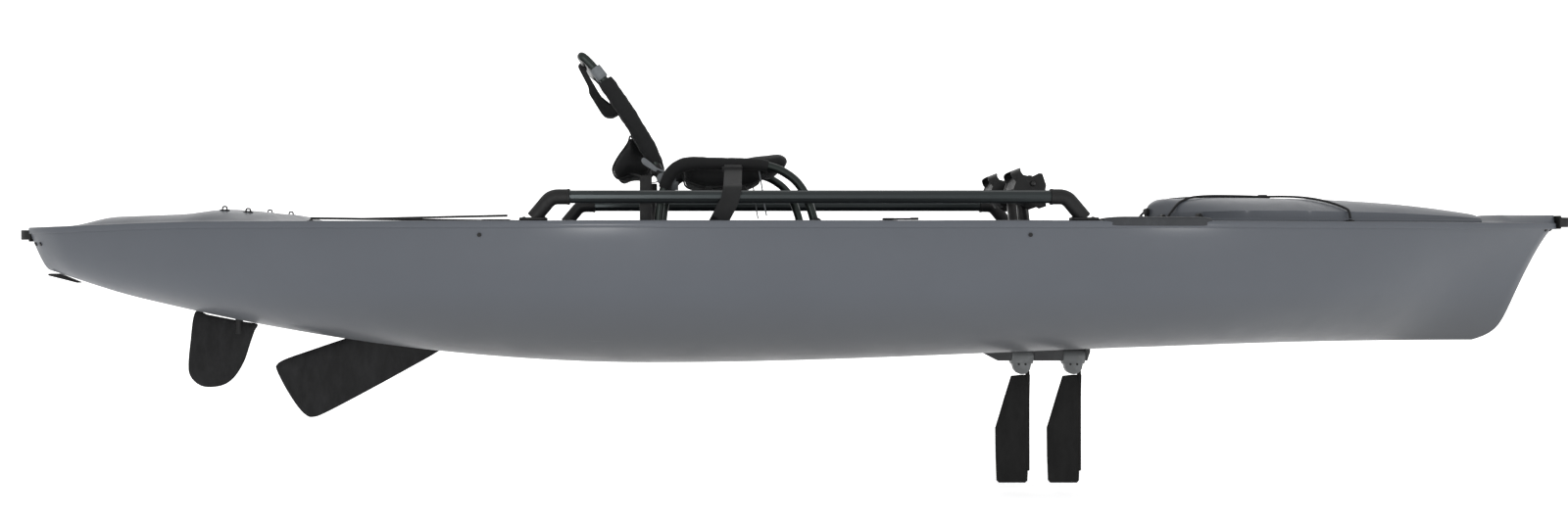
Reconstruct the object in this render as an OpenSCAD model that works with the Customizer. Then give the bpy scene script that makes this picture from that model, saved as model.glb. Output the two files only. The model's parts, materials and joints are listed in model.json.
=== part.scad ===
// Pedal boat: a sit-on-top fishing kayak driven by two swinging fins under the hull.
// +X is the bow, +Y is port, +Z is up. The origin is on the keel's lowest point, at half the hull's length.
// All sizes are millimetres.

/* [Hull] */
// Length of the moulded hull, without its end handles
hull_len = 4090; // [3950:10:4910]
// Greatest width of the hull
beam = 965; // [900:5:1160]
// Height of the gunwale above the keel
sheer_z = 362; // [350:1:435]
// Wall of the moulded hull, deck and wells
wall = 6; // [4:0.5:8]
// Half width of the blunt bow
bow_tip = 26; // [18:1:34]
// How far the keel rises at the stern
stern_rise = 241; // [200:1:260]
// How far the keel rises at the bow
bow_rise = 54; // [40:1:80]
// How far the gunwale drops towards the stern
stern_drop = 12; // [0:1:20]

/* [Cockpit] */
// Front edge of the cockpit opening, from the origin
cockpit_front = 880; // [860:5:900]
// Rear edge of the cockpit opening, from the origin
cockpit_rear = -660; // [-700:5:-620]
// Half width of the cockpit opening
cockpit_half = 265; // [262:1:275]
// Height of the cockpit floor
floor_z = 132; // [120:1:140]
// Corner radius of the cockpit opening
cockpit_corner = 60; // [40:5:80]

/* [Wells and hatches] */
// Depth of the cargo well behind the seat
cargo_depth = 90; // [70:5:100]
// Half width of the cargo well
cargo_half = 215; // [180:5:230]
// Depth of the liner below the front hatch
liner_depth = 150; // [110:5:160]
// Greatest half width of the front hatch lid
lid_half = 290; // [240:5:300]
// Height of the front hatch lid at its crown
lid_rise = 67; // [50:1:85]
// Wall of the front hatch lid
lid_wall = 4; // [3:0.5:6]
// Length over which the lid's rear end is rounded in plan
lid_round = 200; // [120:5:240]
// Length of the floor hatch opening
floor_hatch_len = 300; // [240:5:310]
// Half width of the floor hatch opening
floor_hatch_half = 105; // [80:5:120]
// Depth of the tray under the floor hatch
tray_depth = 60; // [40:5:70]

/* [Rails] */
// Diameter across the corners of the twelve-sided rail
rail_d = 32; // [26:1:38]
// Distance of each rail from the centreline
rail_y = 420; // [400:5:425]
// Height of the rail's centre above the gunwale
rail_h = 63.5; // [50:1:75]
// Front end of the rail tube
rail_front = 582; // [500:5:610]
// Rear end of the rail tube
rail_rear = -569; // [-600:5:-540]
// Diameter of the moulded rail brackets
bracket_d = 37; // [34:1:44]

/* [Seat] */
// Diameter of the seat's tubes
seat_tube = 22; // [18:1:25]
// Distance of each seat side tube from the centreline
seat_y = 240; // [200:5:242]
// Height of the seat's side tubes above the keel
seat_z = 505; // [490:1:560]
// Length of the backrest from its hinge to its top
backrest_len = 380; // [315:5:455]
// Angle of the backrest from the vertical
backrest_tilt = 32; // [20:1:35]

/* [Pedal drive] */
// Length of the pedal cranks between centres
crank_len = 300; // [250:5:320]
// Diameter of the crank shaft
crank_shaft_d = 16; // [12:1:20]
// Distance between the two fin drums
drum_pitch = 139; // [120:1:160]
// Diameter of the shaft that carries the fin drums
drum_shaft_d = 10; // [8:1:12]
// Length of a fin below its drum
fin_len = 292; // [240:1:350]
// Chord of a fin
fin_chord = 91; // [70:1:100]
// Greatest thickness of a fin
fin_t = 13; // [8:1:16]
// Diameter of the mast inside each fin
mast_d = 7; // [6:0.5:8]

/* [Rudder and skeg] */
// Chord of the rudder blade at its top
rudder_chord = 165; // [140:1:180]
// Depth of the rudder blade
rudder_depth = 170; // [140:1:205]
// Diameter of the rudder post
rudder_post_d = 20; // [14:1:24]
// Length of the skeg blade from its pivot
skeg_len = 476; // [390:1:480]
// Angle of the skeg blade below the horizontal
skeg_angle = 21; // [10:1:24]
// Diameter of the skeg's pivot pin
skeg_pin_d = 10; // [8:1:14]

/* [Fittings] */
// Radius of the bore of each rod holder
rod_bore_r = 21; // [18:0.5:24]
// Length of each rod holder below its flange
rod_holder_len = 200; // [140:5:210]
// Thickness of the accessory boards on the gunwale
board_t = 10; // [6:1:14]
// Radial clearance of every pin and shaft in its bore
running_gap = 0.05; // [0.02:0.01:0.1]
// Gap between pieces that move past each other
moving_gap = 1.5; // [1:0.1:3]

/* [Hidden] */
$fn = 48;

hull_grey = [0.40, 0.42, 0.44];
black_plastic = [0.09, 0.09, 0.09];
fabric_black = [0.12, 0.12, 0.12];
tube_grey = [0.20, 0.21, 0.21];
part_grey = [0.42, 0.44, 0.43];
steel = [0.62, 0.62, 0.64];

// ---- Hull form ----------------------------------------------------------------------------------

half_len = hull_len / 2;
HULL_STATIONS = 40;
GIRTH_POINTS = 11;
DECK_STATIONS = 80;
DECK_COLUMNS = 10;
keel_low_u = -0.194;
bow_run = 0.56;
stern_taper = 0.79;
stem_rake = 157;
forefoot_rake = 62;
stern_rake = 37;

function smooth(t) = let (c = min(max(t, 0), 1)) c * c * (3 - 2 * c);

// The keel is lowest just aft of the middle. It rises by a power law aft and levels off forward.
function keel_z(x) =
    let (u = x / half_len)
    u < keel_low_u
        ? stern_rise * pow((keel_low_u - u) / (1 + keel_low_u), 1.88)
        : bow_rise * (1 - exp(-pow((u - keel_low_u) / bow_run, 2)));

// The gunwale is level, apart from a small drop at the stern.
function sheer(x) = sheer_z - stern_drop * smooth((-x / half_len - 0.72) / 0.28);

// Half width at the gunwale: fine at the bow, full amidships, with a rounded stern.
function half_beam(x) =
    let (u = abs(x) / half_len, s = max(0, (u - 0.93) / 0.07), r = max(0, (u - 0.985) / 0.015))
    x >= 0
        ? (bow_tip + (beam / 2 - bow_tip) * (1 - pow(u, 2.4))) * sqrt(1 - 0.7 * r * r)
        : beam / 2 * (1 - stern_taper * pow(u, 2.6)) * sqrt(1 - 0.8 * s * s);

// Share of the half width at a share g of the height, from a full bilge amidships to a V at the bow.
function fullness(x) = 1 - smooth((x / half_len - 0.42) / 0.5) - 0.35 * smooth((-x / half_len - 0.4) / 0.6);
function section(x, g) =
    let (n = 1.25 + 1.2 * fullness(x), m = 1.15 + 1.8 * fullness(x))
    pow(1 - pow(1 - g, n), 1 / m);

// The stem rakes back below the bow, with a round forefoot; the transom leans a little.
function rake(x, g) =
    x >= 0
        ? -smooth((x / half_len - 0.7) / 0.3) * (stem_rake * pow(1 - g, 0.74) + forefoot_rake * exp(-g / 0.06))
        : smooth((-x / half_len - 0.85) / 0.15) * stern_rake * (1 - g);

function hull_point(x, g, side, inset) =
    let (low = keel_z(x) + inset)
    [x + rake(x, g), side * (half_beam(x) - inset) * section(x, g), low + (sheer(x) - low) * g];

// Half width of the outer hull at a height z.
function hull_half_at(x, z) =
    let (g = (z - keel_z(x)) / (sheer(x) - keel_z(x)), xs = min(x - rake(x, g), half_len))
    half_beam(xs) * section(xs, g);

function station(i, count, from, to) = from + (to - from) * (1 - cos(180 * i / count)) / 2;
function girth(j) = pow(abs(GIRTH_POINTS - j) / GIRTH_POINTS, 1.6);

function hull_row(x, inset) =
    [for (j = [0 : 2 * GIRTH_POINTS]) hull_point(x, girth(j), j <= GIRTH_POINTS ? 1 : -1, inset)];

function flat_list(rows) = [for (row = rows) for (p = row) p];
function quad(a, b, c, d) = [[a, b, c], [a, c, d]];

// An open bowl: the outer and inner skins, joined along the gunwale.
module hull_bowl() {
    n = HULL_STATIONS;
    w = 2 * GIRTH_POINTS + 1;
    last = w - 1;
    outer = [for (i = [0 : n]) hull_row(station(i, n, -half_len, half_len), 0)];
    inner = [for (i = [0 : n]) hull_row(station(i, n, -half_len + wall, half_len - 3 * wall), wall)];
    k = (n + 1) * w;
    skins = [
        for (i = [0 : n - 1]) for (j = [0 : last - 1])
            let (a = i * w + j, b = a + w)
            each concat(quad(a, a + 1, b + 1, b), quad(k + a, k + b, k + b + 1, k + a + 1))
    ];
    rims = [
        for (i = [0 : n - 1])
            let (a = i * w, b = a + w)
            each concat(quad(a, b, k + b, k + a), quad(k + a + last, k + b + last, b + last, a + last))
    ];
    caps = [
        for (j = [0 : GIRTH_POINTS - 1])
            let (a = n * w + j, b = n * w + last - j, c = j, d = last - j)
            each concat(
                quad(a, a + 1, b - 1, b), quad(k + a, k + b, k + b - 1, k + a + 1),
                quad(c, d, d - 1, c + 1), quad(k + c, k + c + 1, k + d - 1, k + d)
            )
    ];
    ends = concat(
        quad(n * w, n * w + last, k + n * w + last, k + n * w),
        quad(last, 0, k, k + last)
    );
    polyhedron(
        points = concat(flat_list(outer), flat_list(inner)),
        faces = [for (f = concat(skins, rims, caps, ends)) if (f[0] != f[1] && f[1] != f[2] && f[0] != f[2]) f]
    );
}

// A solid between an upper and a lower grid of points, closed along its four edges.
module slab_between(upper, lower) {
    n = len(upper);
    m = len(upper[0]);
    k = n * m;
    skins = [
        for (i = [0 : n - 2]) for (j = [0 : m - 2])
            let (a = i * m + j, b = a + m)
            each concat(quad(a, a + 1, b + 1, b), quad(k + a, k + b, k + b + 1, k + a + 1))
    ];
    sides = [
        for (i = [0 : n - 2])
            let (a = i * m, b = a + m, c = a + m - 1, d = b + m - 1)
            each concat(quad(a, b, k + b, k + a), quad(k + c, k + d, d, c))
    ];
    ends = [
        for (j = [0 : m - 2])
            let (a = j, b = (n - 1) * m + j)
            each concat(quad(a, k + a, k + a + 1, a + 1), quad(b, b + 1, k + b + 1, k + b))
    ];
    polyhedron(points = concat(flat_list(upper), flat_list(lower)), faces = concat(skins, sides, ends));
}

// ---- Swept tubes, straps and rounded outlines ---------------------------------------------------

function unit(v) = v / norm(v);

// Each corner of a path becomes a short curve that starts and ends at a distance r from it.
function eased(points, r, steps = 4) = [
    for (i = [0 : len(points) - 1])
        if (i == 0 || i == len(points) - 1) points[i]
        else
            let (
                p = points[i],
                a = p + unit(points[i - 1] - p) * min(r, norm(points[i - 1] - p) * 0.45),
                b = p + unit(points[i + 1] - p) * min(r, norm(points[i + 1] - p) * 0.45)
            )
            each [for (s = [0 : steps]) let (t = s / steps) a * (1 - t) * (1 - t) + 2 * p * t * (1 - t) + b * t * t]
];

function tangent(path, i) = unit(path[min(i + 1, len(path) - 1)] - path[max(i - 1, 0)]);

// A profile of points swept along a path; ref is a direction that the path never runs along.
module sweep(path, profile, ref) {
    n = len(path);
    m = len(profile);
    rings = [
        for (i = [0 : n - 1])
            let (t = tangent(path, i), across = unit(cross(ref, t)), up = cross(t, across))
            [for (q = profile) path[i] + across * q[0] + up * q[1]]
    ];
    walls = [
        for (i = [0 : n - 2]) for (j = [0 : m - 1])
            let (a = i * m + j, b = i * m + (j + 1) % m)
            each quad(a, a + m, b + m, b)
    ];
    first = [for (j = [1 : m - 2]) [0, j, j + 1]];
    final = [for (j = [1 : m - 2]) [(n - 1) * m, (n - 1) * m + j + 1, (n - 1) * m + j]];
    polyhedron(points = flat_list(rings), faces = concat(walls, first, final));
}

function ring(d, sides) = [for (k = [0 : sides - 1]) d / 2 * [cos(360 * k / sides), sin(360 * k / sides)]];
function strip(w, t) = [[-w / 2, -t / 2], [w / 2, -t / 2], [w / 2, t / 2], [-w / 2, t / 2]];

module tube(path, d, ref, sides = 12) {
    sweep(path, ring(d, sides), ref);
}

module round_box(len_x, len_y, h, r) {
    linear_extrude(height = h) {
        square([len_x - 2 * r, len_y], center = true);
        square([len_x, len_y - 2 * r], center = true);
        for (sx = [-1, 1], sy = [-1, 1])
            translate([sx * (len_x / 2 - r), sy * (len_y / 2 - r)]) circle(r);
    }
}

module along_y(d, from, to) {
    translate([0, from, 0]) rotate([-90, 0, 0]) cylinder(d = d, h = to - from);
}

module along_x(d, from, to) {
    translate([from, 0, 0]) rotate([0, 90, 0]) cylinder(d = d, h = to - from);
}

module both_sides() {
    children();
    mirror([0, 1, 0]) children();
}

// A plate in the XZ plane, from y = from to y = to.
module side_plate(from, to) {
    translate([0, to, 0]) rotate([90, 0, 0]) linear_extrude(height = to - from) children();
}

// ---- Hull, deck and wells -----------------------------------------------------------------------

deck_z = sheer_z + wall;
bridge = 50;
lid_rear = cockpit_front + bridge + 22;
lid_front = half_len - 250;
cargo_front = cockpit_rear - 60;
cargo_rear = -half_len + 780;
rudder_x = -half_len + 545;
trunk_front = 806;
trunk_rear = 494;
trunk_half = 50;
skeg_x = -930;
skeg_z = 78;
skeg_slot_rear = skeg_x - skeg_len - 24;
skeg_slot_front = skeg_x + 45;
skeg_slot_half = 24;

stern_crown = 24;
hump_rise = 11;
bow_crown = 22;
dome_rear = cargo_rear - 30;
dome_front = lid_front + 29;

// The deck is flat beside the cockpit, and domed ahead of the hatch and behind the cargo well.
function crown(x) =
    smooth((dome_rear - x) / 80)
        * (stern_crown * smooth((x + half_len - 130) / 130) + hump_rise * exp(-pow((x + half_len - 555) / 70, 2)))
    + bow_crown * smooth((x - dome_front) / 50);

// The deck's edge follows the straight facets of the hull's rim, so that the two meet face to face.
function rim_z(x) =
    let (
        i = min(floor(HULL_STATIONS * acos(max(-1, min(1, -x / half_len))) / 180), HULL_STATIONS - 1),
        a = station(i, HULL_STATIONS, -half_len, half_len), b = station(i + 1, HULL_STATIONS, -half_len, half_len)
    )
    sheer(a) + (sheer(b) - sheer(a)) * (x - a) / (b - a);

function deck_row(x, rise) = [
    for (j = [0 : DECK_COLUMNS])
        let (v = 1 - 2 * j / DECK_COLUMNS)
        [x, v * half_beam(x), rim_z(x) + rise + crown(x) * (1 - pow(v, 4))]
];

module hull_shell() {
    color(hull_grey)
        difference() {
            hull_bowl();
            translate([trunk_rear, -trunk_half, -10]) cube([trunk_front - trunk_rear, 2 * trunk_half, 150]);
            translate([skeg_slot_rear, -skeg_slot_half, -10])
                cube([skeg_slot_front - skeg_slot_rear, 2 * skeg_slot_half, 150]);
            translate([rudder_x, 0, keel_z(rudder_x) - 30]) cylinder(d = rudder_post_d + 20, h = 90);
            translate([plug_x, 0, plug_z]) along_x(plug_d, -12, 20);
        }
}

hatch_open_rear = lid_rear + 110;
hatch_open_front = lid_front - 190;
liner_rear_half = 180;
liner_front_half = 92;

module hatch_outline(grow) {
    polygon([
        [hatch_open_rear - grow, -liner_rear_half - grow], [hatch_open_front + grow, -liner_front_half - grow],
        [hatch_open_front + grow, liner_front_half + grow], [hatch_open_rear - grow, liner_rear_half + grow]
    ]);
}

module cockpit_prism(grow, low, high) {
    translate([(cockpit_front + cockpit_rear) / 2, 0, low])
        round_box(cockpit_front - cockpit_rear + 2 * grow, 2 * (cockpit_half + grow), high - low, cockpit_corner + grow);
}

module cargo_prism(grow, low, high) {
    translate([(cargo_front + cargo_rear) / 2, 0, low])
        round_box(cargo_front - cargo_rear + 2 * grow, 2 * (cargo_half + grow), high - low, 40 + grow);
}

rod_holder_x = cockpit_rear - 100;
rod_holder_y = 335;
rod_tube_d = 2 * rod_bore_r + 8;

function reversed(list) = [for (i = [len(list) - 1 : -1 : 0]) list[i]];

module deck() {
    rows = [for (i = [0 : DECK_STATIONS]) station(i, DECK_STATIONS, -half_len, half_len)];
    color(hull_grey)
        difference() {
            slab_between([for (x = rows) deck_row(x, wall)], [for (x = rows) deck_row(x, 0)]);
            cockpit_prism(0, sheer_z - 10, deck_z + 10);
            cargo_prism(0, sheer_z - 10, deck_z + 80);
            translate([0, 0, sheer_z - 10]) linear_extrude(height = 40) hatch_outline(0);
            for (side = [-1, 1]) {
                translate([rod_holder_x, side * rod_holder_y, sheer_z - 10]) cylinder(d = rod_tube_d + 1, h = 40);
                translate([handle_x, side * handle_y, sheer_z - 10]) cylinder(d = 14, h = 40);
            }
        }
}

// Deck, cockpit and hull meet face to face; the tub hangs from the deck's underside.
module cockpit_tub() {
    color(hull_grey)
        difference() {
            cockpit_prism(wall, floor_z - wall, sheer_z);
            cockpit_prism(0, floor_z, sheer_z + 1);
            translate([trunk_rear + wall, -trunk_half + wall, floor_z - 20])
                cube([trunk_front - trunk_rear - 2 * wall, 2 * (trunk_half - wall), 40]);
            translate([floor_hatch_x, 0, floor_z - 20])
                round_box(floor_hatch_len, 2 * floor_hatch_half, 40, 12);
        }
}

module cargo_well() {
    color(hull_grey)
        difference() {
            cargo_prism(wall, sheer_z - cargo_depth, sheer_z);
            cargo_prism(0, sheer_z - cargo_depth + wall, sheer_z + 1);
        }
}

module hatch_liner() {
    color(black_plastic)
        difference() {
            translate([0, 0, sheer_z - liner_depth]) linear_extrude(height = liner_depth) hatch_outline(wall / 2);
            translate([0, 0, sheer_z - liner_depth + wall / 2]) linear_extrude(height = liner_depth) hatch_outline(0);
        }
}

// The well that the pedal drive drops into, from the cockpit floor down to the hull's bottom.
module drive_trunk() {
    color(hull_grey)
        difference() {
            side_plate(-trunk_half, trunk_half)
                polygon([
                    [trunk_rear, keel_z(trunk_rear) + 1], [trunk_front, keel_z(trunk_front) + 1],
                    [trunk_front, floor_z - wall], [trunk_rear, floor_z - wall]
                ]);
            translate([trunk_rear + wall, -trunk_half + wall, -20])
                cube([trunk_front - trunk_rear - 2 * wall, 2 * (trunk_half - wall), floor_z + 40]);
        }
}

skeg_trunk_top = 262;

// The skeg folds up into a closed box above a slot in the hull's bottom.
module skeg_trunk() {
    color(hull_grey)
        difference() {
            side_plate(-skeg_slot_half, skeg_slot_half)
                polygon([
                    [skeg_slot_rear, keel_z(skeg_slot_rear) + 1],
                    [(skeg_slot_rear + skeg_slot_front) / 2, keel_z((skeg_slot_rear + skeg_slot_front) / 2) + 1],
                    [skeg_slot_front, keel_z(skeg_slot_front) + 1],
                    [skeg_slot_front, skeg_trunk_top], [skeg_slot_rear, skeg_trunk_top]
                ]);
            translate([skeg_slot_rear + wall / 2, -skeg_slot_half + wall / 2, -20])
                cube([skeg_slot_front - skeg_slot_rear - wall, 2 * skeg_slot_half - wall, skeg_trunk_top + 20 - wall / 2]);
            translate([skeg_x, 0, skeg_z]) along_y(skeg_pin_d, -skeg_slot_half - 5, skeg_slot_half + 5);
        }
}

// ---- End handles, guard and plug ----------------------------------------------------------------

handle_reach = 40;
handle_grip = 12;
handle_h = 26;

// A moulded loop for lifting an end of the hull: a rounded bar on a flange.
module end_handle(r) {
    translate([0, 0, -handle_h / 2])
        linear_extrude(height = handle_h)
            difference() {
                union() {
                    translate([handle_reach - r, 0]) circle(r);
                    translate([-r, -r]) square([handle_reach, 2 * r]);
                }
                translate([handle_reach - r, 0]) circle(r - handle_grip);
                translate([5, -r + handle_grip]) square([max(handle_reach - r - 5, 0.5), 2 * (r - handle_grip)]);
                translate([-3 * r, -2 * r]) square([3 * r, 4 * r]);
            }
    translate([0, -r, -handle_h / 2 - 5]) cube([5, 2 * r, handle_h + 10]);
}

bow_handle_z = sheer_z + 8;
stern_handle_z = sheer_z - stern_drop - 14;

module bow_handle() {
    color(black_plastic) translate([half_len, 0, bow_handle_z]) end_handle(32);
}

module stern_handle() {
    color(black_plastic) translate([-half_len, 0, stern_handle_z]) mirror([1, 0, 0]) end_handle(39);
}

guard_x = -half_len + stern_rake + 5;

module keel_guard() {
    color(black_plastic)
        hull() {
            translate([guard_x - 8, -12, keel_z(-half_len) - 14]) cube([26, 24, 5]);
            translate([guard_x + 70, -12, keel_z(guard_x + 70) - 4]) cube([4, 24, 2]);
        }
}

plug_z = sheer_z - 75;
plug_d = 14;
plug_x = -half_len + stern_rake * (1 - (plug_z - keel_z(-half_len)) / (sheer_z - keel_z(-half_len)));

module drain_plug() {
    color(black_plastic)
        translate([plug_x, 0, plug_z]) {
            along_x(plug_d + 10, -10.5, -5.5);
            along_x(plug_d - 0.4, -5.5, 14);
        }
}

// ---- Rails and gunwale fittings -----------------------------------------------------------------

rail_z = sheer_z + rail_h;
bracket_gap = 0.5;
front_reach = 39;
rear_reach = 45;
foot_reach = 43;
foot_t = 8;

module rail(side) {
    color(tube_grey)
        translate([0, side * rail_y, rail_z])
            difference() {
                translate([rail_rear, 0, 0]) rotate([0, 90, 0]) rotate(15) cylinder(d = rail_d, h = rail_front - rail_rear, $fn = 12);
                translate([rail_rear - 1, 0, 0]) rotate([0, 90, 0]) cylinder(d = rail_d - 6, h = rail_front - rail_rear + 2);
            }
}

module rail_starboard() {
    rail(-1);
}

module rail_port() {
    rail(1);
}

// Each bracket holds the rail's end, bends down at about 50 degrees and stands on a foot.
module rail_bracket(end_x, dir, side) {
    reach = dir > 0 ? front_reach : rear_reach;
    path = eased([
        [end_x + dir * bracket_gap, side * rail_y, rail_z],
        [end_x + dir * reach, side * rail_y, rail_z],
        [end_x + dir * (reach + foot_reach), side * rail_y, deck_z + foot_t - 2]
    ], 16);
    difference() {
        tube(path, bracket_d, [0, 1, 0], 16);
        translate([end_x + dir * (reach + foot_reach) - 50, side * rail_y - 50, deck_z - 50]) cube([100, 100, 50]);
    }
    translate([end_x + dir * (reach + foot_reach), side * rail_y, deck_z])
        round_box(66, 42, foot_t, 10);
    translate([end_x - dir * 26, side * rail_y, rail_z]) rotate([0, dir * 90, 0])
        cylinder(d = rail_d - 6 - 2 * running_gap, h = 26.6);
}

module rail_brackets() {
    color(black_plastic)
        for (side = [-1, 1]) {
            rail_bracket(rail_front, 1, side);
            rail_bracket(rail_rear, -1, side);
        }
}

board_rear = rail_front + front_reach + foot_reach + 44;
board_front = cockpit_front + 84;
board_w = 58;

function board_path(inward, up) = [
    for (i = [0 : 10])
        let (x = board_rear + (board_front - board_rear) * i / 10)
        [x, half_beam(x) - inward, deck_z + up]
];

// A flat board on each gunwale ahead of the rail, with a lip outside the hull's edge.
module accessory_board() {
    sweep(board_path(board_w / 2 - 3, board_t / 2), strip(board_w, board_t), [0, 0, 1]);
    sweep(board_path(-2.2, board_t / 2 - 7), strip(4, board_t + 14), [0, 0, 1]);
}

module accessory_boards() {
    color(black_plastic) both_sides() accessory_board();
}

screw_head = 10;

function hull_screw_places() = [
    [-782, sheer_z - 28], [525, sheer_z - 28],
    [-half_len + 24, sheer_z - 50], [-half_len + 50, sheer_z - 50],
    [half_len - 42, sheer_z - 12], [half_len - 17, sheer_z - 12]
];

// Each screw stands square to the hull's side.
module hull_screws() {
    color(black_plastic)
        both_sides()
            for (p = hull_screw_places())
                let (
                    across = hull_half_at(p[0] + 2, p[1]) - hull_half_at(p[0] - 2, p[1]),
                    up = hull_half_at(p[0], p[1] + 2) - hull_half_at(p[0], p[1] - 2)
                )
                translate([p[0], hull_half_at(p[0], p[1]), p[1]])
                    rotate([-atan(up / 4), 0, atan(across / 4)]) {
                        along_y(screw_head, -0.5, 2.5);
                        along_y(screw_head / 2, -9, -0.5);
                    }
}

module rod_holder() {
    translate([rod_holder_x, rod_holder_y, 0])
        difference() {
            union() {
                translate([0, 0, deck_z]) cylinder(d = rod_tube_d + 22, h = 5);
                translate([0, 0, deck_z - rod_holder_len]) cylinder(d = rod_tube_d, h = rod_holder_len + 1);
            }
            translate([0, 0, deck_z - rod_holder_len + 4]) cylinder(r = rod_bore_r, h = rod_holder_len + 20);
        }
}

module rod_holders() {
    color(black_plastic) both_sides() rod_holder();
}

pad_t = 5;
pad_rear = 90;

// Grip pads glued to the cockpit floor on each side of the drive.
module deck_pads() {
    pad_front = cockpit_front - 60;
    inner = floor_hatch_half + 22;
    outer = cockpit_half - 14;
    color(black_plastic)
        both_sides()
            translate([(pad_front + pad_rear) / 2, (inner + outer) / 2, floor_z])
                round_box(pad_front - pad_rear, outer - inner, pad_t, 20);
}

// ---- Hatches ------------------------------------------------------------------------------------

floor_hatch_x = 262;
tray_wall = 3;
lid_plate = 8;

module floor_hatch_tray() {
    flange = 14;
    color(black_plastic)
        translate([floor_hatch_x, 0, 0])
            difference() {
                union() {
                    translate([0, 0, floor_z])
                        round_box(floor_hatch_len + 2 * flange, 2 * (floor_hatch_half + flange), 4, 20);
                    translate([0, 0, floor_z - tray_depth])
                        round_box(floor_hatch_len - 1, 2 * floor_hatch_half - 1, tray_depth + 2, 11.5);
                    for (side = [-1, 1])
                        translate([-floor_hatch_len / 2 - flange + 2, side * 60 - 6, floor_z + 3]) cube([14, 12, 9]);
                }
                translate([0, 0, floor_z - tray_depth + tray_wall])
                    round_box(floor_hatch_len - 1 - 2 * tray_wall, 2 * (floor_hatch_half - tray_wall) - 1, tray_depth + 20, 8);
                translate([-floor_hatch_len / 2 - 6, 0, floor_z + 8]) along_y(5 + 2 * running_gap, -80, 80);
            }
}

floor_hinge_x = floor_hatch_x - floor_hatch_len / 2 - 6;
floor_hinge_z = floor_z + 8;

module floor_hatch_lid() {
    color(hull_grey) {
        difference() {
            union() {
                translate([floor_hatch_x + 8, 0, floor_z + 4.5])
                    round_box(floor_hatch_len + 6, 2 * floor_hatch_half + 16, lid_plate, 14);
                translate([floor_hinge_x, 0, floor_hinge_z]) along_y(7, -50, 50);
                translate([floor_hinge_x, -50, floor_hinge_z - 2.5]) cube([16, 100, 5]);
            }
            translate([floor_hatch_x + floor_hatch_len / 2 - 26, 0, floor_z + 9]) round_box(20, 70, 20, 6);
            translate([floor_hinge_x, 0, floor_hinge_z]) along_y(5, -51, 51);
        }
        translate([floor_hinge_x, 0, floor_hinge_z]) along_y(5, -66, 66);
    }
}

function lid_share(x) = (x - lid_rear) / (lid_front - lid_rear);
function lid_crown(x) =
    lid_rise * (1 - 0.62 * pow(lid_share(x), 3.2)) * (0.62 + 0.38 * pow(min(1, (x - lid_rear) / 34), 0.5))
    * (0.96 + 0.04 * smooth(lid_share(x) / 0.2));

// The lid's plan is rounded at the rear and narrows with the hull towards the bow.
function lid_half_at(x) =
    let (t = min(1, (x - lid_rear + 2) / lid_round))
    min(lid_half, half_beam(x) - 48) * pow(1 - (1 - t) * (1 - t), 0.8);

LID_STATIONS = 20;
LID_COLUMNS = 10;

// Height of the lid across its width: a low vertical side, then a rounded shoulder.
function lid_profile(v) = 0.4 + 0.6 * (1 - pow(abs(v), 2.8));

// A row across the lid: up its side, over its crown and down again.
function lid_row(x, cut) =
    let (h = lid_crown(x) - cut, w = lid_half_at(x) - cut)
    concat(
        [[x, w, deck_z + 0.5]],
        [for (j = [0 : LID_COLUMNS]) let (v = 1 - 2 * j / LID_COLUMNS) [x, v * w, deck_z + 0.5 + h * lid_profile(v)]],
        [[x, -w, deck_z + 0.5]]
    );

function flat_row(row) = [for (p = row) [p[0], p[1], deck_z + 0.5]];

module hatch_lid_shell() {
    spread = [for (i = [0 : LID_STATIONS]) pow(i / LID_STATIONS, 1.7)];
    xs = [for (t = spread) lid_rear + (lid_front - lid_rear) * t];
    ys = [for (t = spread) lid_rear + lid_wall + (lid_front - lid_rear - 2 * lid_wall) * t];
    outer = concat([flat_row(lid_row(xs[0], 0))], [for (x = xs) lid_row(x, 0)], [flat_row(lid_row(xs[LID_STATIONS], 0))]);
    inner = concat([flat_row(lid_row(ys[0], lid_wall))], [for (x = ys) lid_row(x, lid_wall)],
                   [flat_row(lid_row(ys[LID_STATIONS], lid_wall))]);
    slab_between(outer, inner);
}

hatch_hinge_x = lid_front + 9;
hatch_hinge_z = deck_z + 15;

module hatch_lid() {
    color(hull_grey) {
        hatch_lid_shell();
        translate([hatch_hinge_x, 0, hatch_hinge_z]) {
            along_y(5, -40, 40);
            side_plate(-22, 22) {
                circle(6);
                translate([-9.5, -4]) square([9.5, 8]);
            }
        }
    }
}

module hatch_hinge_base() {
    color(black_plastic)
        both_sides()
            translate([hatch_hinge_x, 0, 0])
                difference() {
                    side_base = 14;
                    side_plate(24, 24 + side_base) {
                        translate([0, hatch_hinge_z]) circle(7);
                        translate([-5, deck_z + 0.2]) square([12, hatch_hinge_z - deck_z]);
                    }
                    translate([0, 0, hatch_hinge_z]) along_y(5 + 2 * running_gap, 0, 60);
                }
}

hook_rear_x = lid_rear + 8;
hook_rear_y = 125;
hook_front_x = lid_rear + 420;
clip_x = lid_rear + 310;
cord_d = 6;
hook_top = 6;

function lid_top(x, y) =
    let (v = min(abs(y) / lid_half_at(x), 1))
    deck_z + 0.5 + lid_crown(x) * lid_profile(v);

// The shock cord runs from a rear hook up over the lid to its middle clip, and down to a front hook.
function hatch_cord_side(x0, y0, x1, y1) = [
    for (s = [0 : 8])
        let (t = s / 8, x = x0 + (x1 - x0) * t, y = y0 + (y1 - y0) * t)
        [x, y, lid_top(x, y) + cord_d / 2 + 2.2]
];

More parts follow.
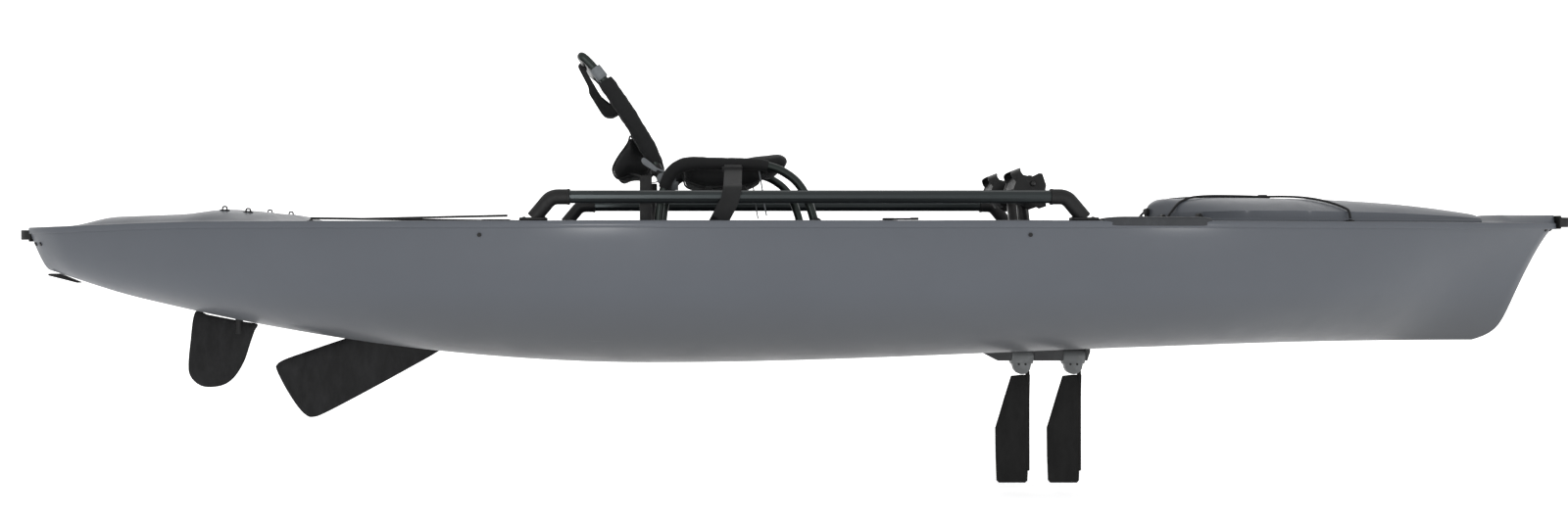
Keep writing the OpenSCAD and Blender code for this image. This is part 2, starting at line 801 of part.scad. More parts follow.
module hatch_cord() {
    color(black_plastic) {
        both_sides() {
            front_y = lid_half_at(hook_front_x);
            tube(concat(
                     [[hook_rear_x, hook_rear_y, deck_z + hook_top + 3.2],
                      [lid_rear + 35, 115, lid_top(lid_rear + 36, 114) + 7.5]],
                     hatch_cord_side(lid_rear + 48, 110, clip_x, 10)
                 ), cord_d, [0.3, 0.2, 1], 8);
            tube(concat(
                     [[hook_front_x, front_y + 13, deck_z + hook_top + 3.2],
                      [hook_front_x, front_y + 6.5, lid_top(hook_front_x, front_y) + 1.2]],
                     hatch_cord_side(hook_front_x, front_y - 6, clip_x, 10)
                 ), cord_d, [0.3, 0.2, 1], 8);
        }
        translate([clip_x, 0, lid_top(clip_x, 0) + 0.6]) round_box(32, 30, 10, 6);
    }
}

// A webbing pull on the middle of the lid's rear edge.
module hatch_pull() {
    color(black_plastic) {
        translate([lid_rear - 6, -12, deck_z + 3]) cube([5.5, 24, lid_rise * 0.55]);
        translate([lid_rear - 8, -16, deck_z + 24]) cube([7.5, 32, 14]);
    }
}

module cord_hook() {
    translate([-9, -6, 0.2]) cube([18, 12, 3]);
    translate([-4, -3, 3]) cube([8, 6, hook_top - 3]);
}

module cord_hooks() {
    color(black_plastic)
        both_sides() {
            translate([hook_rear_x, hook_rear_y, deck_z]) cord_hook();
            translate([hook_front_x, lid_half_at(hook_front_x) + 13, deck_z]) cord_hook();
            for (x = [cargo_front - 25, cargo_rear + 25])
                translate([x, cargo_half + 28, deck_z]) cord_hook();
        }
}

// Two shock cords cross the cargo well from corner to corner.
module cargo_cords() {
    front = cargo_front - 25;
    rear = cargo_rear + 25;
    top = deck_z + hook_top + cord_d / 2 + 0.2;
    y = cargo_half + 28;
    color(black_plastic)
        tube([[front, y, top], [rear, -y, top]], cord_d, [0, 0, 1], 8);
    color(black_plastic)
        tube([[front, -y, top + 6.5], [rear, y, top + 6.5]], cord_d, [0, 0, 1], 8);
}

// ---- Steering -----------------------------------------------------------------------------------

handle_x = 205;
handle_y = 345;
pod_h = 2.5;
pod_top = deck_z + pod_h;
line_z = 250;

module steering_pods() {
    color(black_plastic)
        both_sides()
            translate([handle_x, handle_y, 0])
                difference() {
                    translate([0, 0, deck_z]) cylinder(d = 46, h = pod_h);
                    translate([0, 0, deck_z - 1]) cylinder(d = 10 + 2 * running_gap, h = 20);
                }
}

// A lever on the deck, and a shaft down to the spool that pulls the line.
module steering_handle(side) {
    color(black_plastic)
        translate([handle_x, side * handle_y, 0]) {
            translate([0, 0, line_z - 10]) cylinder(d = 10, h = pod_top + 2 - line_z + 10);
            translate([0, 0, line_z - 8]) cylinder(d = 36, h = 5);
            translate([0, 0, line_z + 3]) cylinder(d = 36, h = 5);
            translate([0, 0, line_z - 4]) cylinder(d = 18, h = 8);
            translate([0, 0, pod_top + 0.5]) cylinder(d = 30, h = 5);
            translate([8, -6, pod_top + 0.5]) cube([56, 12, 5]);
            translate([64, 0, pod_top + 0.5]) cylinder(d = 20, h = 6);
        }
}

module steering_handle_starboard() {
    steering_handle(-1);
}

module steering_handle_port() {
    steering_handle(1);
}

post_low = keel_z(rudder_x) - 14;
bush_low = keel_z(rudder_x) + 2;
bush_top = bush_low + 60;
quadrant_z = bush_top + 2;
spool_r = 28;

// The lines run under the side decks and the cargo well to the groove of the rudder's quadrant.
module steering_lines() {
    color(steel)
        both_sides()
            tube(eased([
                [handle_x, handle_y - 12, line_z],
                [handle_x - 140, 290, line_z],
                [cargo_front - 80, 288, line_z],
                [cargo_rear + 60, 235, line_z - 10],
                [rudder_x + 120, 62, quadrant_z + 10],
                [rudder_x, spool_r + 2.5, quadrant_z + 10]
            ], 40), 3, [0, 0, 1], 6);
}

blade_t = 12;

module rudder_bush() {
    color(black_plastic)
        translate([rudder_x, 0, 0])
            difference() {
                union() {
                    translate([0, 0, bush_low]) cylinder(d = rudder_post_d + 19, h = bush_top - bush_low);
                    translate([0, 0, bush_low + 13]) cylinder(d = rudder_post_d + 44, h = 6);
                }
                translate([0, 0, bush_low - 1]) cylinder(d = rudder_post_d + 2 * running_gap, h = 80);
            }
}

module rudder_post() {
    color(steel)
        translate([rudder_x, 0, 0]) {
            translate([0, 0, post_low - 30]) cylinder(d = rudder_post_d, h = quadrant_z + 38 - post_low);
            translate([0, 0, quadrant_z]) cylinder(d = 84, h = 8);
            translate([0, 0, quadrant_z + 12]) cylinder(d = 84, h = 3);
            translate([0, 0, quadrant_z + 7]) cylinder(r = spool_r, h = 6);
        }
}

// The blade's outline in the XZ plane: its top follows the hull, and its foot is rounded.
function rudder_outline() =
    let (
        c = rudder_chord, d = rudder_depth, fore = rudder_x + 49, top = keel_z(fore) - 5,
        back = keel_z(fore - c) - 7 - top
    )
    [
        for (p = [
            [0, 0], [-0.05 * c, -0.12 * d], [-0.12 * c, -0.32 * d], [-0.21 * c, -0.58 * d], [-0.34 * c, -0.8 * d],
            [-0.48 * c, -0.93 * d], [-0.64 * c, -0.99 * d], [-0.84 * c, -d], [-0.98 * c, -0.95 * d],
            [-1.09 * c, -0.84 * d], [-1.13 * c, -0.68 * d], [-1.1 * c, -0.3 * d], [-c, back]
        ]) [fore + p[0], top + p[1]]
    ];

module rudder_blade() {
    color(black_plastic)
        difference() {
            union() {
                side_plate(-blade_t / 2, blade_t / 2) polygon(rudder_outline());
                translate([rudder_x, 0, post_low - 62]) cylinder(d = rudder_post_d + 8, h = 61.5);
            }
            translate([rudder_x, 0, post_low - 30]) cylinder(d = rudder_post_d, h = 60);
        }
}

skeg_t = 16;
skeg_chord = 166;

// The skeg's outline with its pivot at the origin and the blade running aft.
function skeg_outline() =
    let (l = skeg_len, c = skeg_chord)
    [
        [18, -14], [18, 14], [-24, 40], [-0.2 * l, 0.42 * c], [-0.55 * l, 0.49 * c], [-0.93 * l, 0.53 * c],
        [-0.985 * l, 0.5 * c], [-l, 0.42 * c], [-0.995 * l, 0.32 * c], [-0.955 * l, -0.34 * c],
        [-0.935 * l, -0.45 * c], [-0.9 * l, -0.52 * c], [-0.83 * l, -0.52 * c], [-0.1 * l, -0.24 * c], [0, -0.13 * c]
    ];

module skeg_blade() {
    color(black_plastic)
        translate([skeg_x, 0, skeg_z])
            rotate([0, -skeg_angle, 0])
                difference() {
                    side_plate(-skeg_t / 2, skeg_t / 2) {
                        polygon(skeg_outline());
                        circle(19);
                    }
                    along_y(skeg_pin_d + 2 * running_gap, -skeg_t, skeg_t);
                }
}

module skeg_pin() {
    color(steel) translate([skeg_x, 0, skeg_z]) along_y(skeg_pin_d, -skeg_slot_half + 1, skeg_slot_half - 1);
}

// ---- Pedal drive --------------------------------------------------------------------------------

drive_x = 680;
drum_z = 8;
drum_len = 58;
drum_d = 40;
spine_half = 20;
crank_x = 626;
crank_z = floor_z + 36;
arm_y = 48;
arm_t = 16;
crank_arm_w = 29;
pedal_in = 82;
pedal_out = 205;

function drum_x(end) = drive_x + end * drum_pitch / 2;

// The housing's outline in the XZ plane, with a raked rear foot that stands proud of the hull.
function spine_outline() = [
    [drum_x(-1) - 109, 30], [drum_x(-1) - 104, 18], [drum_x(-1) - 66, -2], [drum_x(1) + 34, -2], [drum_x(1) + 42, 22],
    [drum_x(1) + 42, 118], [crank_x + 44, crank_z - 20], [crank_x + 20, crank_z + 20],
    [crank_x - 20, crank_z + 20], [crank_x - 44, crank_z - 20], [drum_x(-1) - 109, 118]
];

module drive_spine() {
    color(black_plastic)
        difference() {
            union() {
                side_plate(-spine_half, spine_half) polygon(spine_outline());
                translate([(trunk_front + trunk_rear) / 2, 0, floor_z])
                    round_box(trunk_front - trunk_rear - 2, 2 * trunk_half + 20, 5, 16);
            }
            for (end = [-1, 1])
                translate([drum_x(end) - drum_len / 2 - moving_gap, -spine_half - 1, -10])
                    cube([drum_len + 2 * moving_gap, 2 * spine_half + 2, 45]);
            translate([0, 0, drum_z]) along_x(drum_shaft_d + 2 * running_gap, drum_x(-1) - 60, drum_x(1) + 50);
            translate([crank_x, 0, crank_z]) along_y(crank_shaft_d + 2 * running_gap, -30, 30);
            translate([drum_x(-1) - 30, -8, 34]) cube([drum_x(1) - drum_x(-1) + 60, 16, 78]);
        }
}

module drum_shaft() {
    color(steel) translate([0, 0, drum_z]) along_x(drum_shaft_d, drum_x(-1) - 48, drum_x(1) + 40);
}

module crank_shaft() {
    color(steel) translate([crank_x, 0, crank_z]) along_y(crank_shaft_d, -arm_y - arm_t - 4, arm_y + arm_t + 4);
}

pulley_z = 80;

module idler_pulleys() {
    color(part_grey)
        for (end = [-1, 1])
            translate([drum_x(end), 0, pulley_z]) {
                along_y(34, -5, 5);
                along_y(8, -7.9, 7.9);
            }
}

// Each chain loop wraps its idler pulley inside the housing.
module drive_chains() {
    color(steel)
        for (end = [-1, 1])
            translate([drum_x(end), 0, pulley_z])
                side_plate(-3, 3)
                    difference() {
                        circle(20.5);
                        circle(17.2);
                    }
}

// A crank arm: a hub on the shaft, a flat arm and the pedal's pin at its top.
module crank_arm(side) {
    lean = 6;
    color(black_plastic)
        translate([crank_x, 0, crank_z])
            mirror([0, side < 0 ? 1 : 0, 0])
                rotate([0, -lean, 0]) {
                    difference() {
                        side_plate(arm_y, arm_y + arm_t) {
                            circle(21);
                            translate([-crank_arm_w / 2, 0]) square([crank_arm_w, crank_len]);
                            translate([0, crank_len]) circle(15);
                        }
                        along_y(crank_shaft_d + 2 * running_gap, arm_y - 1, arm_y + arm_t + 1);
                    }
                    translate([0, 0, crank_len]) along_y(12, arm_y + arm_t - 0.5, pedal_out);
                }
}

module crank_arm_starboard() {
    crank_arm(-1);
}

module crank_arm_port() {
    crank_arm(1);
}

cheek_t = 7;
toe_strap_w = 26;

function pedal_cheek() = [
    [-50, -14], [-36, 24], [-20, 22], [-4, 17], [16, 27], [24, 26], [34, -4], [30, -26], [34, -58], [16, -64],
    [-4, -52], [-28, -40]
];

// A foot pad between two cheeks that turns on the crank's pin, with a strap over the toes.
module pedal(side) {
    lean = 6;
    top = pedal_out - 6;
    color(black_plastic)
        translate([crank_x, 0, crank_z])
            mirror([0, side < 0 ? 1 : 0, 0])
                rotate([0, -lean, 0])
                    translate([0, 0, crank_len])
                        rotate([0, lean, 0]) {
                            difference() {
                                union() {
                                    side_plate(pedal_in, pedal_in + cheek_t) polygon(pedal_cheek());
                                    side_plate(top - cheek_t, top) polygon(pedal_cheek());
                                    side_plate(pedal_in + 1, top - 1)
                                        polygon([[-48, -14], [-35, 21], [-27, 19], [-40, -18], [-8, -50], [-14, -54]]);
                                    along_y(24, pedal_in, top);
                                }
                                along_y(12 + 2 * running_gap, pedal_in - 1, pedal_out);
                            }
                            sweep(eased([
                                [-18, pedal_in + 4, -6], [-44, pedal_in + 6, 28], [-30, (pedal_in + top) / 2, 40],
                                [-44, top - 6, 28], [-18, top - 4, -6]
                            ], 22), strip(3, toe_strap_w), [0.9, 0, 0.35]);
                        }
}

module pedal_starboard() {
    pedal(-1);
}

module pedal_port() {
    pedal(1);
}

knuckle_z = -16;

// A drum turns on the long shaft; its knuckle below carries the fin's mast.
module drum(end) {
    color(part_grey)
        translate([drum_x(end), 0, 0])
            difference() {
                union() {
                    translate([0, 0, drum_z]) along_x(drum_d, -drum_len / 2, drum_len / 2);
                    translate([0, 0, knuckle_z]) along_y(46, -12, 12);
                    translate([-24, -12, knuckle_z]) cube([48, 24, drum_z - knuckle_z]);
                }
                translate([0, 0, drum_z]) along_x(drum_shaft_d + 2 * running_gap, -drum_len, drum_len);
                translate([mast_x, 0, -80]) cylinder(d = mast_d + 2 * running_gap, h = 70);
            }
}

mast_x = 17;
fin_top = knuckle_z - 25;

module drum_front() {
    drum(1);
}

module drum_rear() {
    drum(-1);
}

// The fin's outline in the XZ plane: a nearly straight leading edge and a kinked trailing edge.
function fin_outline() =
    let (lead = mast_x + 7, l = fin_len, c = fin_chord)
    [
        [lead, 0], [lead - 3, -0.6 * l], [lead - 7, -l + 5], [lead - 12, -l],
        [lead - 0.95 * c, -l], [lead - c, -l + 6], [lead - 1.04 * c, -0.49 * l], [lead - 0.99 * c, -0.43 * l],
        [lead - 0.56 * c, 0]
    ];

module fin(end) {
    color(black_plastic)
        translate([drum_x(end), 0, fin_top]) {
            intersection() {
                side_plate(-fin_t / 2, fin_t / 2) polygon(fin_outline());
                hull() {
                    translate([mast_x, 0, -fin_len - 5]) cylinder(d = fin_t, h = fin_len + 10, $fn = 24);
                    translate([mast_x - 140, 0, -fin_len - 5]) cylinder(d = 3, h = fin_len + 10, $fn = 12);
                }
            }
            translate([mast_x, 0, -40]) cylinder(d = mast_d, h = 40 + 23);
        }
}

module fin_front() {
    fin(1);
}

module fin_rear() {
    fin(-1);
}

// ---- Seat ---------------------------------------------------------------------------------------

seat_rear_x = -330;
seat_front_x = -44;
recline_x = seat_rear_x - 22;
recline_z = seat_z - 27;
back_y = seat_y - 35;
pad_half = seat_y - seat_tube / 2 - 4;
post_len = 30;
post_rear_x = seat_rear_x - 36 - seat_tube / 2 - 2 - post_len;

// Each side tube is a rear leg, the seat's edge and a curved front leg.
module seat_frame() {
    color(tube_grey) {
        both_sides()
            difference() {
                for (x = [seat_rear_x - 36, seat_front_x + 100])
                    translate([x, seat_y, floor_z]) cylinder(d = 2 * (cockpit_half - seat_y) - 6, h = 8);
                translate([post_rear_x - 1, seat_y - 30, floor_z - 1]) cube([post_len + 2, 60, 20]);
            }
        both_sides()
            tube(eased([
                [seat_rear_x - 36, seat_y, floor_z + 6],
                [seat_rear_x - 32, seat_y, seat_z - 90],
                [seat_rear_x + 6, seat_y, seat_z + 12],
                [seat_front_x - 30, seat_y, seat_z + 8],
                [seat_front_x + 44, seat_y, seat_z - 40],
                [seat_front_x + 80, seat_y, seat_z - 140],
                [seat_front_x + 100, seat_y, floor_z + 40],
                [seat_front_x + 100, seat_y, floor_z + 6]
            ], 60), seat_tube, [0, 1, 0]);
        tube([[seat_front_x + 80, -seat_y, seat_z - 140], [seat_front_x + 80, seat_y, seat_z - 140]],
             seat_tube - 4, [0, 0, 1]);
        tube([[seat_rear_x - 32, -seat_y, seat_z - 140], [seat_rear_x - 32, seat_y, seat_z - 140]],
             seat_tube - 4, [0, 0, 1]);
    }
}

module seat_posts() {
    color(black_plastic)
        both_sides()
            translate([post_rear_x, seat_y - 12, floor_z]) cube([post_len, 24, seat_z - 20 - floor_z]);
}

module seat_pan() {
    color(fabric_black)
        side_plate(-pad_half, pad_half)
            polygon([
                [seat_rear_x + 30, seat_z + 6], [seat_rear_x + 46, seat_z - 30], [seat_rear_x + 84, seat_z - 50],
                [seat_rear_x + 200, seat_z - 42], [seat_front_x - 40, seat_z - 18], [seat_front_x - 40, seat_z + 22],
                [seat_rear_x + 130, seat_z + 14], [seat_rear_x + 60, seat_z + 16]
            ]);
}

module seat_front_pad() {
    color(fabric_black)
        side_plate(-pad_half, pad_half)
            polygon([
                [seat_front_x - 39.5, seat_z - 14], [seat_front_x + 4, seat_z + 4], [seat_front_x + 16, seat_z + 22],
                [seat_front_x + 4, seat_z + 36], [seat_front_x - 39.5, seat_z + 28]
            ]);
}

plate_in = seat_y - seat_tube / 2 - 9;

module recline_brackets() {
    color(part_grey)
        both_sides()
            difference() {
                side_plate(plate_in, plate_in + 9) {
                    translate([recline_x, recline_z]) circle(15);
                    translate([recline_x, recline_z - 12]) square([34, 24]);
                }
                translate([recline_x, 0, recline_z]) along_y(8, plate_in - 1, plate_in + 5);
            }
}

module recline_pins() {
    color(steel)
        both_sides()
            translate([recline_x, 0, recline_z]) along_y(8, back_y - 12, plate_in + 5);
}

// The backrest is modelled upright from its hinge, then leaned back.
module at_backrest() {
    translate([recline_x, 0, recline_z]) rotate([0, -backrest_tilt, 0]) children();
}

function back_side(y) = [
    [0, y, 12], [10, y, backrest_len * 0.2], [13, y, backrest_len * 0.5], [8, y, backrest_len * 0.78],
    [-3, y, backrest_len * 0.95], [-11, y, backrest_len]
];

module backrest_frame() {
    color(tube_grey)
        at_backrest() {
            tube(eased(concat(back_side(back_y), reversed(back_side(-back_y))), 60, 4), seat_tube, [1, 0, 0.02], 10);
            both_sides()
                difference() {
                    along_y(30, back_y - 11, back_y + 11);
                    along_y(8 + 2 * running_gap, back_y - 20, back_y + 20);
                }
        }
}

module backrest_mesh() {
    half = back_y - seat_tube / 2 - 3;
    l = backrest_len;
    color(fabric_black)
        at_backrest()
            side_plate(-half, half)
                polygon([
                    [27, l * 0.22], [28, l * 0.45], [26, l * 0.66], [18, l * 0.74], [-4, l * 0.74],
                    [-11, l * 0.6], [-11, l * 0.3], [4, l * 0.2]
                ]);
}

module lumbar_pad() {
    l = backrest_len;
    color(fabric_black)
        at_backrest()
            side_plate(-150, 150)
                polygon([
                    [-11.5, l * 0.4], [-21, l * 0.345], [-70, l * 0.3], [-99, l * 0.26], [-105, l * 0.2],
                    [-98, l * 0.16], [-70, l * 0.155], [-37, l * 0.09], [-16, l * 0.1], [-11.5, l * 0.28]
                ]);
}

strap_half = 30;

// A carrying strap with a padded sleeve, from the top tube down to the back of the mesh.
module backrest_strap() {
    l = backrest_len;
    color(fabric_black)
        at_backrest()
            side_plate(-strap_half, strap_half)
                polygon([
                    [-22.5, l * 1.03], [-30, l], [-32, l * 0.845], [-42, l * 0.815], [-43, l * 0.62], [-29, l * 0.59],
                    [-11.5, l * 0.585], [-11.5, l * 0.64], [-22, l * 0.67], [-25, l * 0.8], [-25, l * 0.96]
                ]);
}

module backrest_collars() {
    color(part_grey)
        at_backrest()
            both_sides()
                translate([4.8, back_y, backrest_len * 0.83])
                    rotate([0, -6, 0])
                        difference() {
                            cylinder(d = seat_tube + 9, h = 34);
                            translate([0, 0, -1]) cylinder(d = seat_tube + 3.6, h = 36);
                        }
}

// A webbing strap passes outside the starboard rail; a thin one hangs from the pan to the floor.
module seat_straps() {
    strap_x = seat_front_x - 130;
    out = rail_y + rail_d / 2 + 3;
    color(fabric_black)
        both_sides()
            difference() {
                sweep(eased([
                    [strap_x, seat_y + seat_tube / 2 + 2, seat_z + 6],
                    [strap_x, seat_y + seat_tube / 2 + 30, seat_z - 2],
                    [strap_x - 6, out + 2, rail_z + 22],
                    [strap_x - 12, out + 1, rail_z - 10],
                    [strap_x - 36, out - 4, deck_z + 3]
                ], 14), strip(3, 42), [1, 0, 0]);
                translate([strap_x - 100, out - 50, deck_z - 49.8]) cube([120, 100, 50]);
            }
}

hull_shell();
deck();
cockpit_tub();
cargo_well();
hatch_liner();
drive_trunk();
skeg_trunk();
bow_handle();
stern_handle();
keel_guard();
drain_plug();
rail_starboard();
rail_port();
rail_brackets();
accessory_boards();
hull_screws();
rod_holders();
rudder_bush();
deck_pads();
floor_hatch_tray();
hatch_hinge_base();
cord_hooks();
cargo_cords();
steering_pods();
steering_lines();
drive_spine();
drum_shaft();
crank_shaft();
idler_pulleys();
drive_chains();
skeg_pin();
seat_frame();
seat_posts();
seat_pan();
seat_front_pad();
recline_brackets();
recline_pins();
seat_straps();
backrest_frame();
backrest_mesh();
lumbar_pad();
backrest_strap();
backrest_collars();
steering_handle_starboard();
steering_handle_port();
rudder_blade();
rudder_post();
skeg_blade();
crank_arm_starboard();
crank_arm_port();
pedal_starboard();
pedal_port();
drum_front();
drum_rear();
fin_front();
fin_rear();
hatch_lid();
hatch_cord();
hatch_pull();
floor_hatch_lid();
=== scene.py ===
"""Finished look of the pedal boat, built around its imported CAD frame.

Every piece stands where the CAD model says. +X is the bow, +Y is port, +Z is up, in metres.
"""

from __future__ import annotations

import json
import logging
import math
from dataclasses import dataclass, field, replace
from enum import Enum
from typing import Sequence

import bmesh
import bpy
import numpy as np
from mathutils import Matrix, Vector

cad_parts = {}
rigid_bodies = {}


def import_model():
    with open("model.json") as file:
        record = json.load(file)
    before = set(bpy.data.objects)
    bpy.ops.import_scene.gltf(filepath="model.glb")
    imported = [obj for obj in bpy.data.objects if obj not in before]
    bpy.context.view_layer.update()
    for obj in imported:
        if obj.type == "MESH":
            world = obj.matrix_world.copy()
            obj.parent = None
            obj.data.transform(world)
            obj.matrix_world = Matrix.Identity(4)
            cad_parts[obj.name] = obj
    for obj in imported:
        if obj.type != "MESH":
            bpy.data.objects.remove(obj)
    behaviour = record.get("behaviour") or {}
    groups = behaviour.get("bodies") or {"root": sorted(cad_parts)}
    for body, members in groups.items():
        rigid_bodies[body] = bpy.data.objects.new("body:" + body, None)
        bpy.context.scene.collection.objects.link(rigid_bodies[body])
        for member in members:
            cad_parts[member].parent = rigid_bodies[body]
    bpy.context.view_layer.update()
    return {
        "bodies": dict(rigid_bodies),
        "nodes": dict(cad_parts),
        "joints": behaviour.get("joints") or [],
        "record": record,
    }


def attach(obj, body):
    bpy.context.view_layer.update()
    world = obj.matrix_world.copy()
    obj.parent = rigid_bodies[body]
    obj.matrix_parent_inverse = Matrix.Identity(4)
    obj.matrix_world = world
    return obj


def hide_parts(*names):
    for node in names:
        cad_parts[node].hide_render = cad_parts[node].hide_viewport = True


LOG = logging.getLogger("pedal_boat")
Array = np.ndarray
Socket = bpy.types.NodeSocket
Grid = tuple[Array, Array]

MM = 0.001
SIDES = ((-1, "starboard"), (1, "port"))
HOOK_Z = 0.3772  # where the deck hooks hold their cords
CORD_R = 3 * MM


# ---- Arrays of points -----------------------------------------------------------------------------


def unit(vectors: Array) -> Array:
    """Vectors of length one: each divided by its own length."""
    return vectors / np.linalg.norm(vectors, axis=-1, keepdims=True)


def smooth(t: Array) -> Array:
    """The S-curve 3t^2 - 2t^3, with t held between 0 and 1."""
    c = np.clip(t, 0.0, 1.0)
    return c * c * (3 - 2 * c)


def cubic(a: Array, b: Array, c: Array, d: Array, f: Array) -> Array:
    """Catmull-Rom cubic from b to c at a share f of the way, with a and d as their neighbours."""
    return 0.5 * (2 * b + (c - a) * f + (2 * a - 5 * b + 4 * c - d) * f**2 + (3 * b - a - 3 * c + d) * f**3)


def spline(points: Sequence[Sequence[float]] | Array, count: int) -> Array:
    """A smooth open curve through given points, a cubic over each span.

    Args:
        points: the points to pass through, with any number of coordinates each.
        count: how many points to return.

    Returns:
        The curve's points, evenly spread over the spans.
    """
    p = np.asarray(points, float)
    p = np.vstack([2 * p[0] - p[1], p, 2 * p[-1] - p[-2]])
    t = np.linspace(0, len(p) - 3, count)
    i = np.minimum(t.astype(int), len(p) - 4)
    return cubic(p[i], p[i + 1], p[i + 2], p[i + 3], (t - i)[:, None])


def closed_spline(points: Sequence[Sequence[float]] | Array, count: int) -> Array:
    """The same cubic carried round a closed outline; the last point repeats the first."""
    p = np.asarray(points, float)
    t = np.linspace(0, len(p), count)
    i = np.minimum(t.astype(int), len(p) - 1)
    a, b, c, d = (p[(i + k) % len(p)] for k in (-1, 0, 1, 2))
    return cubic(a, b, c, d, (t - i)[:, None])


def eased(points: Sequence[Sequence[float]], r: float, steps: int = 9) -> Array:
    """Straight runs with each corner rounded by a parabola that starts and ends at a distance r from it."""
    p = np.asarray(points, float)
    t = np.linspace(0, 1, steps)[:, None]
    runs = [p[:1]]
    for a, b, c in zip(p[:-2], p[1:-1], p[2:]):
        into, out = a - b, c - b
        start = b + unit(into) * min(r, 0.45 * float(np.linalg.norm(into)))
        end = b + unit(out) * min(r, 0.45 * float(np.linalg.norm(out)))
        runs.append(start * (1 - t) ** 2 + 2 * b * t * (1 - t) + end * t * t)
    return np.vstack([*runs, p[-1:]])


def rounded_polygon(points: Sequence[Sequence[float]], r: float, steps: int = 6) -> Array:
    """A closed outline whose corners are eased by r; it starts and ends at the middle of its last side."""
    p = np.asarray(points, float)
    start = (p[0] + p[-1]) / 2
    path = eased([start, *p, start], r, steps)
    at = run_lengths(path)
    even = np.linspace(0, at[-1], 97)
    return np.stack([np.interp(even, at, path[:, k]) for k in range(p.shape[1])], -1)


def circle(r: float, sides: int = 24) -> Array:
    """A round profile of radius r; the last point repeats the first."""
    a = np.linspace(0, 2 * math.pi, sides + 1)
    return r * np.stack([np.cos(a), np.sin(a)], -1)


def band(width: float, thick: float, sides: int = 24) -> Array:
    """A flat band's profile with rounded edges: each coordinate is a root of the circle's own."""
    a = np.linspace(0, 2 * math.pi, sides + 1)
    c, s = np.cos(a), np.sin(a)
    return np.stack([width / 2 * np.sign(c) * abs(c) ** 0.35, thick / 2 * np.sign(s) * abs(s) ** 0.5], -1)


def run_lengths(path: Array) -> Array:
    """Distance along a path at each of its points."""
    steps = np.linalg.norm(np.diff(path, axis=0), axis=1)
    return np.concatenate([[0.0], np.cumsum(steps)])


def points_of(x: Array, y: Array, z: Array) -> Array:
    """Points from three arrays of coordinates, broadcast to one shape."""
    return np.stack(np.broadcast_arrays(x, y, z), -1)


def mirrored(values: Array) -> Array:
    """Values followed by themselves in reverse."""
    return np.concatenate([values, values[::-1]])


def rim(edge: float) -> tuple[Array, Array]:
    """How far in and how far along a rounded rim lies: a quarter circle of radius edge."""
    turn = np.linspace(0, math.pi / 2, 4)
    return edge * (1 - np.sin(turn)), edge * (1 - np.cos(turn))


def plain_uv(rows: Array) -> Array:
    """A UV map in metres: the longest run across the rows, and the longest run along a row."""
    along = run_lengths(rows[:, rows.shape[1] // 2])
    across = run_lengths(rows[rows.shape[0] // 2])
    return np.stack(np.meshgrid(along, across, indexing="ij"), -1)


def with_caps(rows: Array) -> Array:
    """Rows of points with a pole at the middle of the first and of the last row, which closes both ends."""
    first, last = (np.broadcast_to(row.mean(0), row.shape) for row in (rows[0], rows[-1]))
    return np.concatenate([first[None], rows, last[None]])


def capped(rows: Array) -> Grid:
    """A grid whose end rows are closed by poles, with a plain UV map."""
    closed = with_caps(rows)
    return closed, plain_uv(closed)


def swept(path: Array, profile: Array, ref: Sequence[float], scale: Array | None = None) -> Grid:
    """A profile carried along a path, with both ends closed.

    The profile's first coordinate runs along ref x tangent, and its second square to that and the tangent.

    Args:
        path: points of the path, n by 3.
        profile: points of the profile, m by 2, the last repeating the first.
        ref: a direction that the path never runs along.
        scale: how much the profile is enlarged at each point of the path.

    Returns:
        The surface's grid and its UV map in metres: along the path, and round the profile.
    """
    tangent = unit(np.gradient(path, axis=0))
    across = unit(np.cross(np.broadcast_to(np.asarray(ref, float), tangent.shape), tangent))
    up = np.cross(tangent, across)
    grow = np.ones(len(path)) if scale is None else scale
    q = profile[None] * grow[:, None, None]
    rows = path[:, None] + across[:, None] * q[..., :1] + up[:, None] * q[..., 1:]
    uv = np.stack(np.meshgrid(run_lengths(path), run_lengths(profile), indexing="ij"), -1)
    return with_caps(rows), np.concatenate([uv[:1], uv, uv[-1:]])


def rod(start: Sequence[float], end: Sequence[float], r: float, edge: float = 0.8 * MM, sides: int = 28) -> Grid:
    """A straight round bar; a quarter circle of radius edge rounds each end's rim."""
    a, b = np.asarray(start, float), np.asarray(end, float)
    d = unit(b - a)
    inset, level = rim(edge)
    depth = level[:, None] * d
    ref = (0.0, 0.0, 1.0) if abs(d[2]) < 0.9 else (1.0, 0.0, 0.0)
    path = np.vstack([a + depth, (b - depth)[::-1]])
    return swept(path, circle(r, sides), ref, mirrored((r - inset) / r))


def turned(axis_point: Sequence[float], profile: Sequence[Sequence[float]], sides: int = 36) -> Grid:
    """A profile of radius and height turned about a vertical axis, closed at both ends."""
    p = np.asarray(profile, float)
    a = np.linspace(0, 2 * math.pi, sides + 1)
    rows = points_of(p[:, :1] * np.cos(a), p[:, :1] * np.sin(a), p[:, 1:])
    return capped(rows + np.asarray(axis_point, float))


def rounded_outline(half_x: float, half_y: float, corner: float, steps: int = 9) -> Array:
    """A rectangle with round corners, anticlockwise from the front port corner; the last point repeats the first."""
    r = max(min(corner, half_x, half_y), 0.5 * MM)
    quarter = np.linspace(0, math.pi / 2, steps)
    turns = quarter[None] + np.arange(4)[:, None] * math.pi / 2
    sx = np.array([1, -1, -1, 1])[:, None]
    sy = np.array([1, 1, -1, -1])[:, None]
    x = sx * (half_x - r) + r * np.cos(turns)
    y = sy * (half_y - r) + r * np.sin(turns)
    ring = np.stack([x.ravel(), y.ravel()], -1)
    return np.vstack([ring, ring[:1]])


